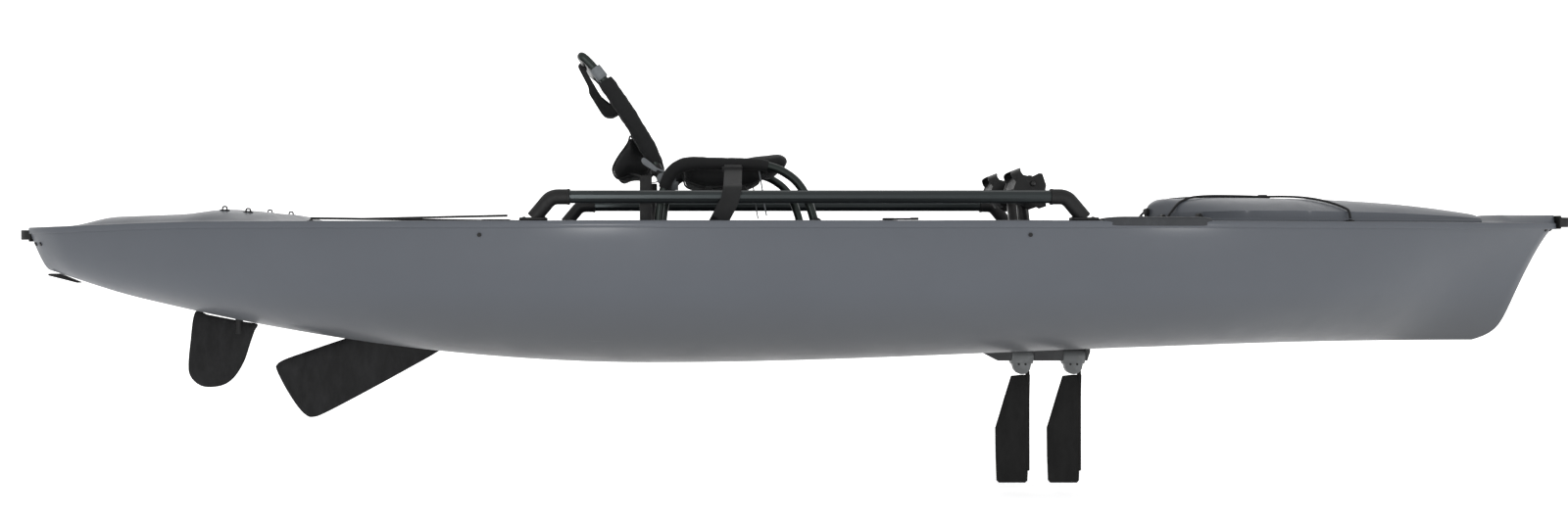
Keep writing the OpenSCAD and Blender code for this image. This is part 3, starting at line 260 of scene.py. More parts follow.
def level_ring(half: Sequence[float], corner: float, mid: Sequence[float], z: float) -> Array:
    """A rectangle with round corners, lying level at a height."""
    ring = rounded_outline(half[0], half[1], corner) + np.asarray(mid, float)[:2]
    return np.column_stack([ring, np.full(len(ring), z)])


def prism(half: Sequence[float], corner: float, mid: Sequence[float], low: float, high: float) -> Grid:
    """An upright block with round corners, centred on mid."""
    return capped(np.stack([level_ring(half, corner, mid, z) for z in (low, high)]))


def brick(low: Sequence[float], high: Sequence[float], corner: float = 3 * MM, edge: float = 1 * MM) -> Grid:
    """A block with upright round corners and a quarter circle of radius edge along its top and bottom rims."""
    lo, hi = np.asarray(low, float), np.asarray(high, float)
    half, mid = (hi - lo) / 2, (hi + lo) / 2
    inset, level = rim(edge)
    levels = np.concatenate([lo[2] + level, (hi[2] - level)[::-1]])
    return capped(np.stack([level_ring(half - i, corner - i, mid, z) for i, z in zip(mirrored(inset), levels)]))


def plate(outline: Array, low: float, high: float, edge: float = 1.5 * MM) -> Array:
    """Rows that carry an outline in the XZ plane from y = low to y = high, with the rims drawn in by edge.

    The outline is moved towards its own middle, by a quarter circle's law over the rim.
    """
    middle = outline.mean(0)
    size = np.linalg.norm(outline - middle, axis=1).mean()
    inset, level = rim(edge)
    ys = np.concatenate([low + level, (high - level)[::-1]])
    flat = middle + (outline - middle)[None] * mirrored(1 - inset / size)[:, None, None]
    return points_of(flat[..., 0], ys[:, None], flat[..., 1])


# ---- Meshes ---------------------------------------------------------------------------------------


def mesh_of(name: str, grids: Sequence[Grid], facing: Sequence[float] | None = None) -> bpy.types.Mesh:
    """One mesh from several grids of points.

    Each grid cell becomes a four-sided face. Points that coincide are merged, which closes seams and poles, and the
    faces are then turned outwards.

    Args:
        name: the mesh's name.
        grids: surfaces, each a grid of points and its UV map.
        facing: for an open sheet, the direction that most of its area faces.
    """
    verts, faces, uvs, base = [], [], [], 0
    for points, uv in grids:
        n, m = points.shape[:2]
        index = base + np.arange(n * m).reshape(n, m)
        faces.append(np.stack([index[:-1, :-1], index[:-1, 1:], index[1:, 1:], index[1:, :-1]], -1).reshape(-1, 4))
        verts.append(points.reshape(-1, 3))
        uvs.append(uv.reshape(-1, 2))
        base += n * m
    quads = np.concatenate(faces)
    mesh = bpy.data.meshes.new(name)
    mesh.from_pydata(np.concatenate(verts).tolist(), [], quads.tolist())
    layer = mesh.uv_layers.new(name="UVMap")
    layer.data.foreach_set("uv", np.concatenate(uvs)[quads.ravel()].astype(np.float32).ravel())
    bm = bmesh.new()
    bm.from_mesh(mesh)
    bmesh.ops.remove_doubles(bm, verts=bm.verts, dist=2e-6)
    bmesh.ops.dissolve_degenerate(bm, dist=1e-7, edges=bm.edges)
    bmesh.ops.recalc_face_normals(bm, faces=bm.faces)
    if facing is not None:
        bm.normal_update()
        total = sum(np.dot(face.normal, facing) * face.calc_area() for face in bm.faces)
        if total < 0:
            bmesh.ops.reverse_faces(bm, faces=bm.faces)
    bm.to_mesh(mesh)
    bm.free()
    return mesh


def new_object(name: str, mesh: bpy.types.Mesh) -> bpy.types.Object:
    """An object at the origin with its place in its mesh."""
    obj = bpy.data.objects.new(name, mesh)
    bpy.context.scene.collection.objects.link(obj)
    return obj


def meshed(name: str, grids: Sequence[Grid], facing: Sequence[float] | None = None) -> bpy.types.Object:
    """An object made of grids, named like its mesh."""
    return new_object(name, mesh_of(name, grids, facing))


def settle(obj: bpy.types.Object) -> bpy.types.Object:
    """Applies every modifier on an object to its mesh."""
    bpy.context.view_layer.update()
    done = bpy.data.meshes.new_from_object(obj.evaluated_get(bpy.context.evaluated_depsgraph_get()))
    obj.modifiers.clear()
    obj.data = done
    return obj


def walled(name: str, grid: Grid, thick: float, offset: float, facing: Sequence[float]) -> bpy.types.Object:
    """An open sheet with a wall: all of it behind the face for an offset of -1, and half on each side for 0."""
    obj = meshed(name, [grid], facing)
    solid = obj.modifiers.new("wall", "SOLIDIFY")
    solid.thickness, solid.offset = thick, offset
    return settle(obj)


def shade(obj: bpy.types.Object, sharp_deg: float = 34) -> None:
    """Smooth shading that stays sharp over edges steeper than an angle."""
    obj.data.shade_smooth()
    obj.data.set_sharp_from_angle(angle=math.radians(sharp_deg))


def cut(obj: bpy.types.Object, cutters: Sequence[Grid]) -> None:
    """Takes closed shapes away from an object with exact booleans, one at a time."""
    for k, cutter in enumerate(cutters):
        tool = meshed(f"cutter_{k}", [cutter])
        mod = obj.modifiers.new("cut", "BOOLEAN")
        mod.object, mod.operation, mod.solver = tool, "DIFFERENCE", "EXACT"
        settle(obj)
        bpy.data.objects.remove(tool)


def pillow(outline: Array, half: float, rows: int = 34, sag: float = 0.0, squareness: float = 5.0) -> Grid:
    """A stuffed form: a closed XZ outline carried along Y, drawn in towards its middle at both ends.

    The outline's size falls off as (1 - |v|^squareness)^(1/2.2), and its top dips by sag at the middle, where v runs
    from -1 to 1 across the form.
    """
    turn = np.linspace(-math.pi / 2, math.pi / 2, rows)
    v = np.sin(turn)
    size = (1 - np.abs(v) ** squareness) ** (1 / 2.2)
    middle = outline.mean(0)
    flat = middle + (outline - middle)[None] * size[:, None, None]
    rise = np.clip((flat[..., 1] - middle[1]) / np.ptp(outline[:, 1]) * 2, 0, 1)
    z = flat[..., 1] - sag * (1 - v[:, None] ** 2) * rise
    return capped(points_of(flat[..., 0], half * v[:, None], z))


def blade(outline: Array, half_y: float, fullness: float = 4.0, rings: int = 18) -> Grid:
    """A thin blade with a lens-shaped section, from a closed XZ outline.

    Rings of the outline shrink towards its middle on both faces. At a share s of the way out, the half thickness is
    half_y times (1 - s^fullness)^0.6.
    """
    s = np.sin(np.linspace(0, math.pi / 2, rings))[1:]
    share = np.concatenate([s, s[:-1][::-1]])
    side = np.concatenate([np.ones(len(s)), -np.ones(len(s) - 1)])
    middle = outline.mean(0)
    flat = middle + (outline - middle)[None] * share[:, None, None]
    y = side * half_y * np.maximum(1 - share**fullness, 0) ** 0.6
    rows = points_of(flat[..., 0], y[:, None], flat[..., 1])
    first, last = (np.broadcast_to([middle[0], d * half_y, middle[1]], rows[:1].shape) for d in (1, -1))
    rows = np.concatenate([first, rows, last])
    return rows, np.stack([rows[..., 0], rows[..., 2]], -1)


def piping(outline: Array, y: float) -> Grid:
    """A thin round cord that follows a closed XZ outline at one y."""
    return swept(points_of(outline[:, 0], np.array(y), outline[:, 1]), circle(2.4 * MM, 8), (0, 1, 0))


def swell(obj: bpy.types.Object, cap: float, voxel: float = 5 * MM, pressure: float = 4.0, frames: int = 20) -> None:
    """Swells a stuffed form with Cloth pressure, and smooths it.

    The form is remeshed evenly, then blown up for some frames with no gravity. No point keeps more than cap of its
    motion.
    """
    remesh = obj.modifiers.new("even", "REMESH")
    remesh.mode, remesh.voxel_size = "VOXEL", voxel
    settle(obj)
    mesh = obj.data
    start = np.empty(len(mesh.vertices) * 3)
    mesh.vertices.foreach_get("co", start)
    cloth = obj.modifiers.new("cloth", "CLOTH")
    cloth.settings.use_pressure = True
    cloth.settings.uniform_pressure_force = pressure
    cloth.settings.effector_weights.gravity = 0
    cloth.settings.quality = 4
    cloth.point_cache.frame_start, cloth.point_cache.frame_end = 1, frames
    for frame in range(1, frames + 1):
        bpy.context.scene.frame_set(frame)
    settle(obj)
    bpy.context.scene.frame_set(1)
    end = np.empty_like(start)
    obj.data.vertices.foreach_get("co", end)
    move = (end - start).reshape(-1, 3)
    length = np.linalg.norm(move, axis=1, keepdims=True)
    move *= cap * np.tanh(length / cap) / np.maximum(length, 1e-9)
    obj.data.vertices.foreach_set("co", (start + move.ravel()).astype(np.float32))
    soften = obj.modifiers.new("soften", "SMOOTH")
    soften.factor, soften.iterations = 0.5, 4
    levels = obj.modifiers.new("levels", "SUBSURF")
    levels.levels = levels.render_levels = 1
    settle(obj)
    obj.data.shade_smooth()


# ---- Finishes -------------------------------------------------------------------------------------


class Space(Enum):
    """Coordinates that a pattern follows."""

    OBJECT = "Object"
    SURFACE = "UV"


class Recipe:
    """The node tree of one material, filled in a step at a time."""

    def __init__(self, name: str, colour: Sequence[float], roughness: float, **constants: float) -> None:
        """Starts a material whose constant values are set on the shader's own sockets."""
        self.material = bpy.data.materials.new(name)
        self.material.use_nodes = True
        self.tree = self.material.node_tree
        self.shader = self.tree.nodes["Principled BSDF"]
        self.shader.inputs["Base Color"].default_value = (*colour, 1.0)
        self.shader.inputs["Roughness"].default_value = roughness
        for key, value in constants.items():
            self.shader.inputs[key.replace("_", " ")].default_value = value

    def node(self, kind: str, links: dict[str | int, Socket] | None = None, **values: object) -> bpy.types.Node:
        """Adds a node; links feed its inputs, and values set its inputs or its own properties."""
        made = self.tree.nodes.new(kind)
        for key, value in values.items():
            name = key.replace("_", " ")
            if name in made.inputs and not hasattr(made, key):
                made.inputs[name].default_value = value
            else:
                setattr(made, key, value)
        for key, socket in (links or {}).items():
            self.tree.links.new(socket, made.inputs[key])
        return made

    def place(self, space: Space = Space.OBJECT, scale: Sequence[float] = (1, 1, 1), turn: float = 0.0) -> Socket:
        """Coordinates, stretched by a scale and turned about Z."""
        source = self.node("ShaderNodeTexCoord").outputs[space.value]
        mapping = self.node("ShaderNodeMapping", {"Vector": source})
        mapping.inputs["Scale"].default_value = tuple(scale)
        mapping.inputs["Rotation"].default_value = (0.0, 0.0, turn)
        return mapping.outputs["Vector"]

    def noise(self, at: Socket, scale: float, detail: float = 3.0, rough: float = 0.55) -> Socket:
        """Cloudy noise from 0 to 1."""
        return self.node("ShaderNodeTexNoise", {"Vector": at}, Scale=scale, Detail=detail, Roughness=rough).outputs[0]

    def wave(self, at: Socket, scale: float, direction: str, warp: float = 0.0) -> Socket:
        """Parallel sine ridges; scale is their count per metre divided by about 3.2."""
        made = self.node("ShaderNodeTexWave", {"Vector": at}, Scale=scale, Distortion=warp)
        made.bands_direction = direction
        return made.outputs["Fac"]

    def cells(self, at: Socket, scale: float) -> Socket:
        """Distance to the nearest of scattered points, for pebbled grain."""
        return self.node("ShaderNodeTexVoronoi", {"Vector": at}, Scale=scale).outputs["Distance"]

    def remap(self, value: Socket, low: float, high: float, to_low: float, to_high: float) -> Socket:
        """A value carried from one range to another and held there."""
        made = self.node("ShaderNodeMapRange", {0: value})
        for k, number in enumerate((low, high, to_low, to_high), start=1):
            made.inputs[k].default_value = number
        return made.outputs[0]

    def math(self, operation: str, a: Socket, b: Socket | float) -> Socket:
        """One sum or product of two values."""
        made = self.node("ShaderNodeMath", {0: a}, operation=operation)
        if isinstance(b, (int, float)):
            made.inputs[1].default_value = b
        else:
            self.tree.links.new(b, made.inputs[1])
        return made.outputs[0]

    def height(self, at: Socket | None = None) -> Socket:
        """The Z coordinate in metres."""
        source = at or self.place()
        return self.node("ShaderNodeSeparateXYZ", {0: source}).outputs[2]

    def tint(self, factor: Socket, low: Sequence[float], high: Sequence[float]) -> Socket:
        """A colour between two, by a value from 0 to 1."""
        made = self.node("ShaderNodeMix", {0: factor}, data_type="RGBA")
        made.inputs[6].default_value = (*low, 1.0)
        made.inputs[7].default_value = (*high, 1.0)
        return made.outputs[2]

    def blend(self, factor: Socket, low: Socket, high: Sequence[float]) -> Socket:
        """A colour laid over another, by a value from 0 to 1."""
        made = self.node("ShaderNodeMix", {0: factor, 6: low}, data_type="RGBA")
        made.inputs[7].default_value = (*high, 1.0)
        return made.outputs[2]

    def paint(self, colour: Socket | None = None, roughness: Socket | None = None) -> None:
        """Feeds the shader's colour and roughness."""
        if colour is not None:
            self.tree.links.new(colour, self.shader.inputs["Base Color"])
        if roughness is not None:
            self.tree.links.new(roughness, self.shader.inputs["Roughness"])

    def relief(self, layers: Sequence[tuple[Socket, float]]) -> None:
        """Stacks bump layers, each a height from 0 to 1 and its depth in metres."""
        normal = None
        for level, depth in layers:
            links = {"Height": level} if normal is None else {"Height": level, "Normal": normal}
            normal = self.node("ShaderNodeBump", links, Strength=1.0, Distance=depth).outputs[0]
        self.tree.links.new(normal, self.shader.inputs["Normal"])


def shaded(colour: Sequence[float], share: float) -> tuple[float, ...]:
    """A colour made lighter or darker by a share."""
    return tuple(min(1.0, c * share) for c in colour)


@dataclass(frozen=True)
class MouldedHull:
    """Rotation-moulded polyethylene: soft mottling, faint orange peel, rubbed streaks low on the hull, and a darker
    bottom that is partly its own brownish tone and partly painted shade.
    """

    name: str = "hull_plastic"
    colour: tuple[float, float, float] = (0.0755, 0.082, 0.094)
    rubbed: tuple[float, float, float] = (0.135, 0.14, 0.145)
    # colour low on the hull: partly its own brownish tone, partly painted shade
    low_tone_and_shade: tuple[float, float, float] = (0.066, 0.067, 0.068)
    roughness: float = 0.42
    rub_top: float = 0.11

    def build(self) -> bpy.types.Material:
        """Makes the material."""
        r = Recipe(
            self.name, self.colour, self.roughness, Specular_IOR_Level=0.12, Coat_Weight=0.12, Coat_Roughness=0.17,
            IOR=1.45
        )
        at = r.place()
        cloud = r.noise(at, 3.0, 5.0)
        base = r.tint(cloud, shaded(self.colour, 0.93), shaded(self.colour, 1.07))
        # Darker and less blue towards the bottom: partly the hull's own brownish tone, partly painted shade low on the
        # hull.
        low = r.remap(r.height(at), 0.20, 0.0, 0.0, 0.9)
        base = r.blend(low, base, self.low_tone_and_shade)
        streak = r.noise(r.place(scale=(2.5, 60, 60)), 2.2, 6.0, 0.7)
        scuff = r.math(
            "MULTIPLY", r.remap(streak, 0.6, 0.72, 0.0, 0.6), r.remap(r.height(at), self.rub_top, 0.0, 0.0, 1.0)
        )
        base = r.blend(scuff, base, self.rubbed)
        fine = r.noise(at, 900.0, 2.0)
        r.paint(base, r.remap(r.noise(at, 9.0, 4.0), 0.3, 0.7, self.roughness - 0.05, self.roughness + 0.07))
        r.relief([
            (r.noise(at, 7.0, 1.0), 0.7 * MM), (fine, 0.06 * MM), (r.remap(streak, 0.62, 0.7, 1.0, 0.0), 0.04 * MM)
        ])
        return r.material


@dataclass(frozen=True)
class GrainedPlastic:
    """Injection-moulded plastic with a fine spark-eroded grain and paler, rubbed patches."""

    name: str
    colour: tuple[float, float, float]
    roughness: float = 0.5
    grain: float = 1400.0
    depth: float = 0.05 * MM
    gloss: float = 0.22

    def build(self) -> bpy.types.Material:
        """Makes the material."""
        r = Recipe(self.name, self.colour, self.roughness, IOR=1.48, Specular_IOR_Level=self.gloss)
        at = r.place()
        worn = r.remap(r.noise(at, 26.0, 5.0, 0.65), 0.5, 0.75, 0.0, 1.0)
        r.paint(
            r.tint(worn, self.colour, shaded(self.colour, 1.45)),
            r.remap(r.noise(at, 60.0, 3.0), 0.3, 0.7, self.roughness - 0.07, self.roughness + 0.08),
        )
        r.relief([(r.cells(at, self.grain), self.depth), (r.noise(at, 120.0, 2.0), 0.05 * MM)])
        return r.material


@dataclass(frozen=True)
class DrawnMetal:
    """Anodised or brushed metal with fine lines along one axis."""

    name: str
    colour: tuple[float, float, float]
    roughness: float = 0.38
    metallic: float = 0.85
    lines: tuple[float, float, float] = (2.0, 500.0, 500.0)

    def build(self) -> bpy.types.Material:
        """Makes the material."""
        r = Recipe(self.name, self.colour, self.roughness, Metallic=self.metallic)
        grooves = r.noise(r.place(scale=self.lines), 3.0, 3.0, 0.7)
        cloud = r.noise(r.place(), 14.0, 4.0)
        r.paint(
            r.tint(cloud, shaded(self.colour, 0.9), shaded(self.colour, 1.12)),
            r.remap(grooves, 0.3, 0.7, self.roughness - 0.06, self.roughness + 0.08),
        )
        r.relief([(grooves, 0.02 * MM)])
        return r.material


@dataclass(frozen=True)
class OpenMesh:
    """Woven seat mesh: two crossing sets of coated yarns, with painted shade in the gaps between them."""

    name: str = "seat_mesh"
    # painted shade: the near-black colour of the gaps between the yarns
    colour: tuple[float, float, float] = (0.011, 0.0115, 0.012)
    gap_shade: tuple[float, float, float] = (0.002, 0.002, 0.002)
    yarns_per_metre: float = 420.0

    def build(self) -> bpy.types.Material:
        """Makes the material."""
        r = Recipe(self.name, self.colour, 0.6, Specular_IOR_Level=0.15, Sheen_Weight=0.03, Sheen_Roughness=0.5)
        at = r.place(Space.SURFACE)
        scale = self.yarns_per_metre / 3.2
        warp, weft = r.wave(at, scale, "X"), r.wave(at, scale, "Y")
        yarn = r.math("MAXIMUM", warp, weft)
        # The gaps between the yarns are painted near black: painted shade where the open mesh is seen through.
        r.paint(r.tint(r.remap(yarn, 0.45, 0.8, 0.0, 1.0), self.gap_shade, self.colour))
        r.relief([(r.noise(r.place(), 11.0, 2.0), 1.2 * MM), (yarn, 0.5 * MM)])
        return r.material


@dataclass(frozen=True)
class PackCloth:
    """Plain-woven nylon over foam: a tight weave, soft creases and a faint sheen."""

    name: str = "pack_cloth"
    colour: tuple[float, float, float] = (0.0055, 0.0057, 0.006)
    weave: float = 300.0

    def build(self) -> bpy.types.Material:
        """Makes the material."""
        r = Recipe(self.name, self.colour, 0.72, Specular_IOR_Level=0.15, Sheen_Weight=0.06, Sheen_Roughness=0.4)
        at = r.place(scale=(1, 1, 1), turn=0.6)
        weave = r.math("MULTIPLY", r.wave(at, self.weave, "X"), r.wave(at, self.weave, "Y"))
        fade = r.noise(r.place(), 16.0, 5.0)
        r.paint(r.tint(fade, self.colour, shaded(self.colour, 1.7)))
        r.relief([(r.noise(r.place(), 24.0, 4.0, 0.6), 1.1 * MM), (weave, 0.25 * MM)])
        return r.material


@dataclass(frozen=True)
class Webbing:
    """Ribbed polyester strap: cross ribs along its length and a rolled edge."""

    name: str = "webbing"
    colour: tuple[float, float, float] = (0.0065, 0.0067, 0.007)

    def build(self) -> bpy.types.Material:
        """Makes the material."""
        r = Recipe(self.name, self.colour, 0.7, Specular_IOR_Level=0.2, Sheen_Weight=0.04, Sheen_Roughness=0.5)
        at = r.place(Space.SURFACE)
        ribs, cords = r.wave(at, 170.0, "X"), r.wave(at, 110.0, "Y", 0.4)
        r.paint(r.tint(r.noise(r.place(), 40.0, 3.0), self.colour, shaded(self.colour, 1.8)))
        r.relief([(ribs, 0.35 * MM), (cords, 0.2 * MM)])
        return r.material


@dataclass(frozen=True)
class BraidedSheath:
    """Shock cord: a braided cover, from two sets of diagonal ridges."""

    name: str = "shock_cord"
    colour: tuple[float, float, float] = (0.007, 0.007, 0.0075)

    def build(self) -> bpy.types.Material:
        """Makes the material."""
        r = Recipe(self.name, self.colour, 0.65, Specular_IOR_Level=0.2, Sheen_Weight=0.03)
        at = r.place(Space.SURFACE)
        braid = r.math(
            "MULTIPLY", r.wave(at, 130.0, "DIAGONAL"), r.wave(r.place(Space.SURFACE, (1, -1, 1)), 130.0, "DIAGONAL")
        )
        r.paint(r.tint(braid, self.colour, shaded(self.colour, 2.6)))
        r.relief([(braid, 0.3 * MM)])
        return r.material


@dataclass(frozen=True)
class FoamGrip:
    """Closed-cell foam pad with a diamond tread, with painted shade in its grooves."""

    name: str = "foam_grip"
    colour: tuple[float, float, float] = (0.018, 0.019, 0.020)
    tread_per_metre: float = 62.0

    def build(self) -> bpy.types.Material:
        """Makes the material."""
        r = Recipe(self.name, self.colour, 0.85, Specular_IOR_Level=0.15)
        scale = self.tread_per_metre / 3.2
        ways = [r.wave(r.place(turn=turn), scale, "X") for turn in (0.6, -0.6)]
        lines = r.math("MAXIMUM", *[r.remap(w, 0.86, 0.97, 0.0, 1.0) for w in ways])
        # The tread's grooves are painted darker: painted shade in the grooves.
        r.paint(r.tint(lines, self.colour, shaded(self.colour, 0.35)))
        r.relief([(r.remap(lines, 0.0, 1.0, 1.0, 0.0), 1.2 * MM), (r.cells(r.place(), 1800.0), 0.15 * MM)])
        return r.material


@dataclass(frozen=True)
class FlexRubber:
    """Matt moulded rubber or soft plastic with a mottled, dusty surface."""

    name: str
    colour: tuple[float, float, float]
    roughness: float = 0.6
    gloss: float = 0.10

    def build(self) -> bpy.types.Material:
        """Makes the material."""
        r = Recipe(self.name, self.colour, self.roughness, IOR=1.46, Specular_IOR_Level=self.gloss)
        dust = r.noise(r.place(scale=(1, 1, 0.4)), 34.0, 6.0, 0.7)
        r.paint(
            r.tint(r.remap(dust, 0.4, 0.75, 0.0, 1.0), self.colour, shaded(self.colour, 2.0)),
            r.remap(dust, 0.3, 0.7, self.roughness - 0.06, self.roughness + 0.1),
        )
        r.relief([(r.noise(r.place(), 18.0, 2.0), 0.5 * MM), (r.cells(r.place(), 900.0), 0.08 * MM)])
        return r.material


@dataclass(frozen=True)
class Finish:
    """A material, and the record's slot that it fills."""

    material: bpy.types.Material
    slot: str


def finish(slot: str, recipe: MouldedHull | GrainedPlastic | DrawnMetal | FlexRubber) -> Finish:
    """A field whose finish is made together with the set that it belongs to."""
    return field(default_factory=lambda: Finish(recipe.build(), slot))


@dataclass(frozen=True)
class Finishes:
    """Every finish, made once and handed to the sub-assemblies."""

    hull: Finish = finish("hull", MouldedHull())
    black: Finish = finish("black_plastic", GrainedPlastic("black_moulding", (0.0075, 0.0076, 0.0078)))
    glossy: Finish = finish("black_plastic", GrainedPlastic("crank_black", (0.0065, 0.0065, 0.0065), 0.34, gloss=0.35))
    housing: Finish = finish("drive_housing", GrainedPlastic("drive_housing", (0.022, 0.023, 0.024), 0.46))
    board: Finish = finish("black_plastic", GrainedPlastic("board_plastic", (0.024, 0.026, 0.029), 0.5))
    collar: Finish = finish("drum_grey", GrainedPlastic("pale_grey_moulding", (0.10, 0.108, 0.115), 0.45))
    drum: Finish = finish("drum_grey", GrainedPlastic("drum_plastic", (0.088, 0.092, 0.094), 0.42))
    rail: Finish = finish("rail_tube", DrawnMetal("rail_anodised", (0.030, 0.035, 0.036), 0.32))
    tube: Finish = finish("seat_tube", DrawnMetal("seat_tube", (0.018, 0.023, 0.021), 0.34, 0.75))
    steel: Finish = finish("steel", DrawnMetal("steel", (0.55, 0.55, 0.56), 0.3, 1.0))
    mesh: Finish = finish("seat_fabric", OpenMesh())
    cloth: Finish = finish("seat_fabric", PackCloth())
    webbing: Finish = finish("webbing", Webbing())
    cord: Finish = finish("cord", BraidedSheath())
    foam: Finish = finish("grip_pad", FoamGrip())
    blade: Finish = finish("blade", FlexRubber("blade_plastic", (0.0085, 0.0086, 0.009), 0.42))
    fin: Finish = finish("fin_rubber", FlexRubber("fin_rubber", (0.0065, 0.0065, 0.0065), 0.62))


class Workshop:
    """Hands out the frame's nodes, dresses pieces and puts them on their bodies."""

    def __init__(self, frame: dict) -> None:
        """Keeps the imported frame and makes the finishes."""
        self.nodes: dict[str, bpy.types.Object] = frame["nodes"]
        self.look = Finishes()

    def dress(self, obj: bpy.types.Object, finish: Finish, body: str, replaces: Sequence[str] = ()) -> bpy.types.Object:
        """Gives a piece its finish and body, and hides the CAD nodes that it stands for."""
        obj.data.materials.clear()
        obj.data.materials.append(finish.material)
        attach(obj, body)
        if replaces:
            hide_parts(*replaces)
        LOG.info("%s on %s, %d faces", obj.name, body, len(obj.data.polygons))
        return obj

    def piece(
        self,
        name: str,
        grids: Sequence[Grid],
        finish: Finish,
        body: str,
        replaces: Sequence[str] = (),
        sharp: float = 34,
    ) -> bpy.types.Object:
        """Builds a closed piece from grids and dresses it."""
        obj = meshed(name, grids)
        shade(obj, sharp)
        return self.dress(obj, finish, body, replaces)

    def stuffed(self, name: str, form: Grid, cap: float, body: str, node: str) -> bpy.types.Object:
        """Builds a stuffed cloth form in place of a CAD node, swells it by up to cap and dresses it."""
        obj = meshed(name, [form])
        swell(obj, cap)
        return self.dress(obj, self.look.cloth, body, [node])

    def shock_cord(self, name: str, path: Array, ref: Sequence[float], body: str, node: str) -> None:
        obj = self.piece(name, [swept(path, circle(CORD_R, 12), ref)], self.look.cord, body, [node])

    def keep(self, finish: Finish, *nodes: str) -> None:
        """Leaves CAD nodes as they are and gives them a finish."""
        for node in nodes:
            materials = self.nodes[node].data.materials
            materials.clear()
            materials.append(finish.material)

    def ease_edges(self, node: str, finish: Finish, body: str, width: float = 1.2 * MM) -> None:
        """Stands a copy of a CAD node in its place, with its flat faces joined up and its edges rounded.

        Args:
            node: the CAD node to copy and hide.
            finish: the copy's finish.
            body: the CAD body that it rides on.
            width: how far the rounding reaches from each edge.
        """
        mesh = self.nodes[node].data.copy()
        bm = bmesh.new()
        bm.from_mesh(mesh)
        bmesh.ops.remove_doubles(bm, verts=bm.verts, dist=1e-5)
        bmesh.ops.dissolve_limit(bm, angle_limit=math.radians(0.8), verts=bm.verts, edges=bm.edges)
        bm.to_mesh(mesh)
        bm.free()
        obj = new_object(f"{node}_finished", mesh)
        bevel = obj.modifiers.new("rounding", "BEVEL")
        bevel.width, bevel.segments = width, 2
        bevel.limit_method, bevel.angle_limit = "ANGLE", math.radians(30)
        settle(obj)
        shade(obj, 30)
        self.dress(obj, finish, body, [node])


# ---- Hull and deck --------------------------------------------------------------------------------


@dataclass(frozen=True)
class HullForm:
    """The hull's lines, in the same formulas as the CAD model."""

    half_len: float = 2.045
    beam: float = 0.965
    sheer_z: float = 0.362
    wall: float = 6 * MM
    bow_tip: float = 0.026
    stern_rise: float = 0.241
    bow_rise: float = 0.054
    stern_drop: float = 0.012
    keel_low_u: float = -0.194
    bow_run: float = 0.56
    stern_taper: float = 0.79
    stem_rake: float = 0.157
    forefoot_rake: float = 0.062
    stern_rake: float = 0.037
    dome_rear: float = -1.295
    dome_front: float = 1.824
    stern_crown: float = 0.024
    hump_rise: float = 0.011
    bow_crown: float = 0.022

    @property
    def deck_z(self) -> float:
        """Height of the flat deck's top."""
        return self.sheer_z + self.wall

    def stations(self, count: int) -> Array:
        """Places along the hull, closer together at its ends, by a cosine."""
        return -self.half_len * np.cos(np.linspace(0, math.pi, count))

    def keel(self, x: Array) -> Array:
        """The keel rises by a power law aft of its lowest point and levels off forward of it."""
        u = x / self.half_len
        aft = self.stern_rise * (np.maximum(self.keel_low_u - u, 0) / (1 + self.keel_low_u)) ** 1.88
        fore = self.bow_rise * (1 - np.exp(-(((u - self.keel_low_u) / self.bow_run) ** 2)))
        return np.where(u < self.keel_low_u, aft, fore)

    def sheer(self, x: Array) -> Array:
        """The gunwale is level, with a small drop at the stern."""
        return self.sheer_z - self.stern_drop * smooth((-x / self.half_len - 0.72) / 0.28)

    def half_beam(self, x: Array) -> Array:
        """Half width at the gunwale: a power law each way from the middle, rounded off at the ends."""
        u = np.abs(x) / self.half_len
        s, r = np.maximum(0, (u - 0.93) / 0.07), np.maximum(0, (u - 0.985) / 0.015)
        fore = (self.bow_tip + (self.beam / 2 - self.bow_tip) * (1 - u**2.4)) * np.sqrt(1 - 0.7 * r * r)
        aft = self.beam / 2 * (1 - self.stern_taper * u**2.6) * np.sqrt(1 - 0.8 * s * s)
        return np.where(x >= 0, fore, aft)

    def section(self, x: Array, g: Array) -> Array:
        """Share of the half width at a share g of the height: a full bilge that fines to a V at the bow."""
        full = 1 - smooth((x / self.half_len - 0.42) / 0.5) - 0.35 * smooth((-x / self.half_len - 0.4) / 0.6)
        n, m = 1.25 + 1.2 * full, 1.15 + 1.8 * full
        return (1 - (1 - g) ** n) ** (1 / m)

    def rake(self, x: Array, g: Array) -> Array:
        """The stem leans back below the bow with a round forefoot, and the transom leans a little."""
        bow = -smooth((x / self.half_len - 0.7) / 0.3) * (
            self.stem_rake * (1 - g) ** 0.74 + self.forefoot_rake * np.exp(-g / 0.06)
        )
        stern = smooth((-x / self.half_len - 0.85) / 0.15) * self.stern_rake * (1 - g)
        return np.where(x >= 0, bow, stern)

    def skin(self, x: Array, inset: float, girth: int) -> Array:
        """Rows of points round the hull from the port gunwale to the starboard one."""
        j = np.linspace(-1, 1, 2 * girth + 1)[None]
        g = np.abs(j) ** 1.6
        low = self.keel(x)[:, None] + inset
        across = -np.sign(j) * (self.half_beam(x)[:, None] - inset) * self.section(x[:, None], g)
        return np.stack([x[:, None] + self.rake(x[:, None], g), across, low + (self.sheer(x)[:, None] - low) * g], -1)

    def crown(self, x: Array) -> Array:
        """How far the deck domes up at its middle, aft of the cargo well and ahead of the hatch."""
        aft = self.stern_crown * smooth((x + self.half_len - 0.13) / 0.13)
        hump = self.hump_rise * np.exp(-(((x + self.half_len - 0.555) / 0.07) ** 2))
        fore = self.bow_crown * smooth((x - self.dome_front) / 0.05)
        return smooth((self.dome_rear - x) / 0.08) * (aft + hump) + fore


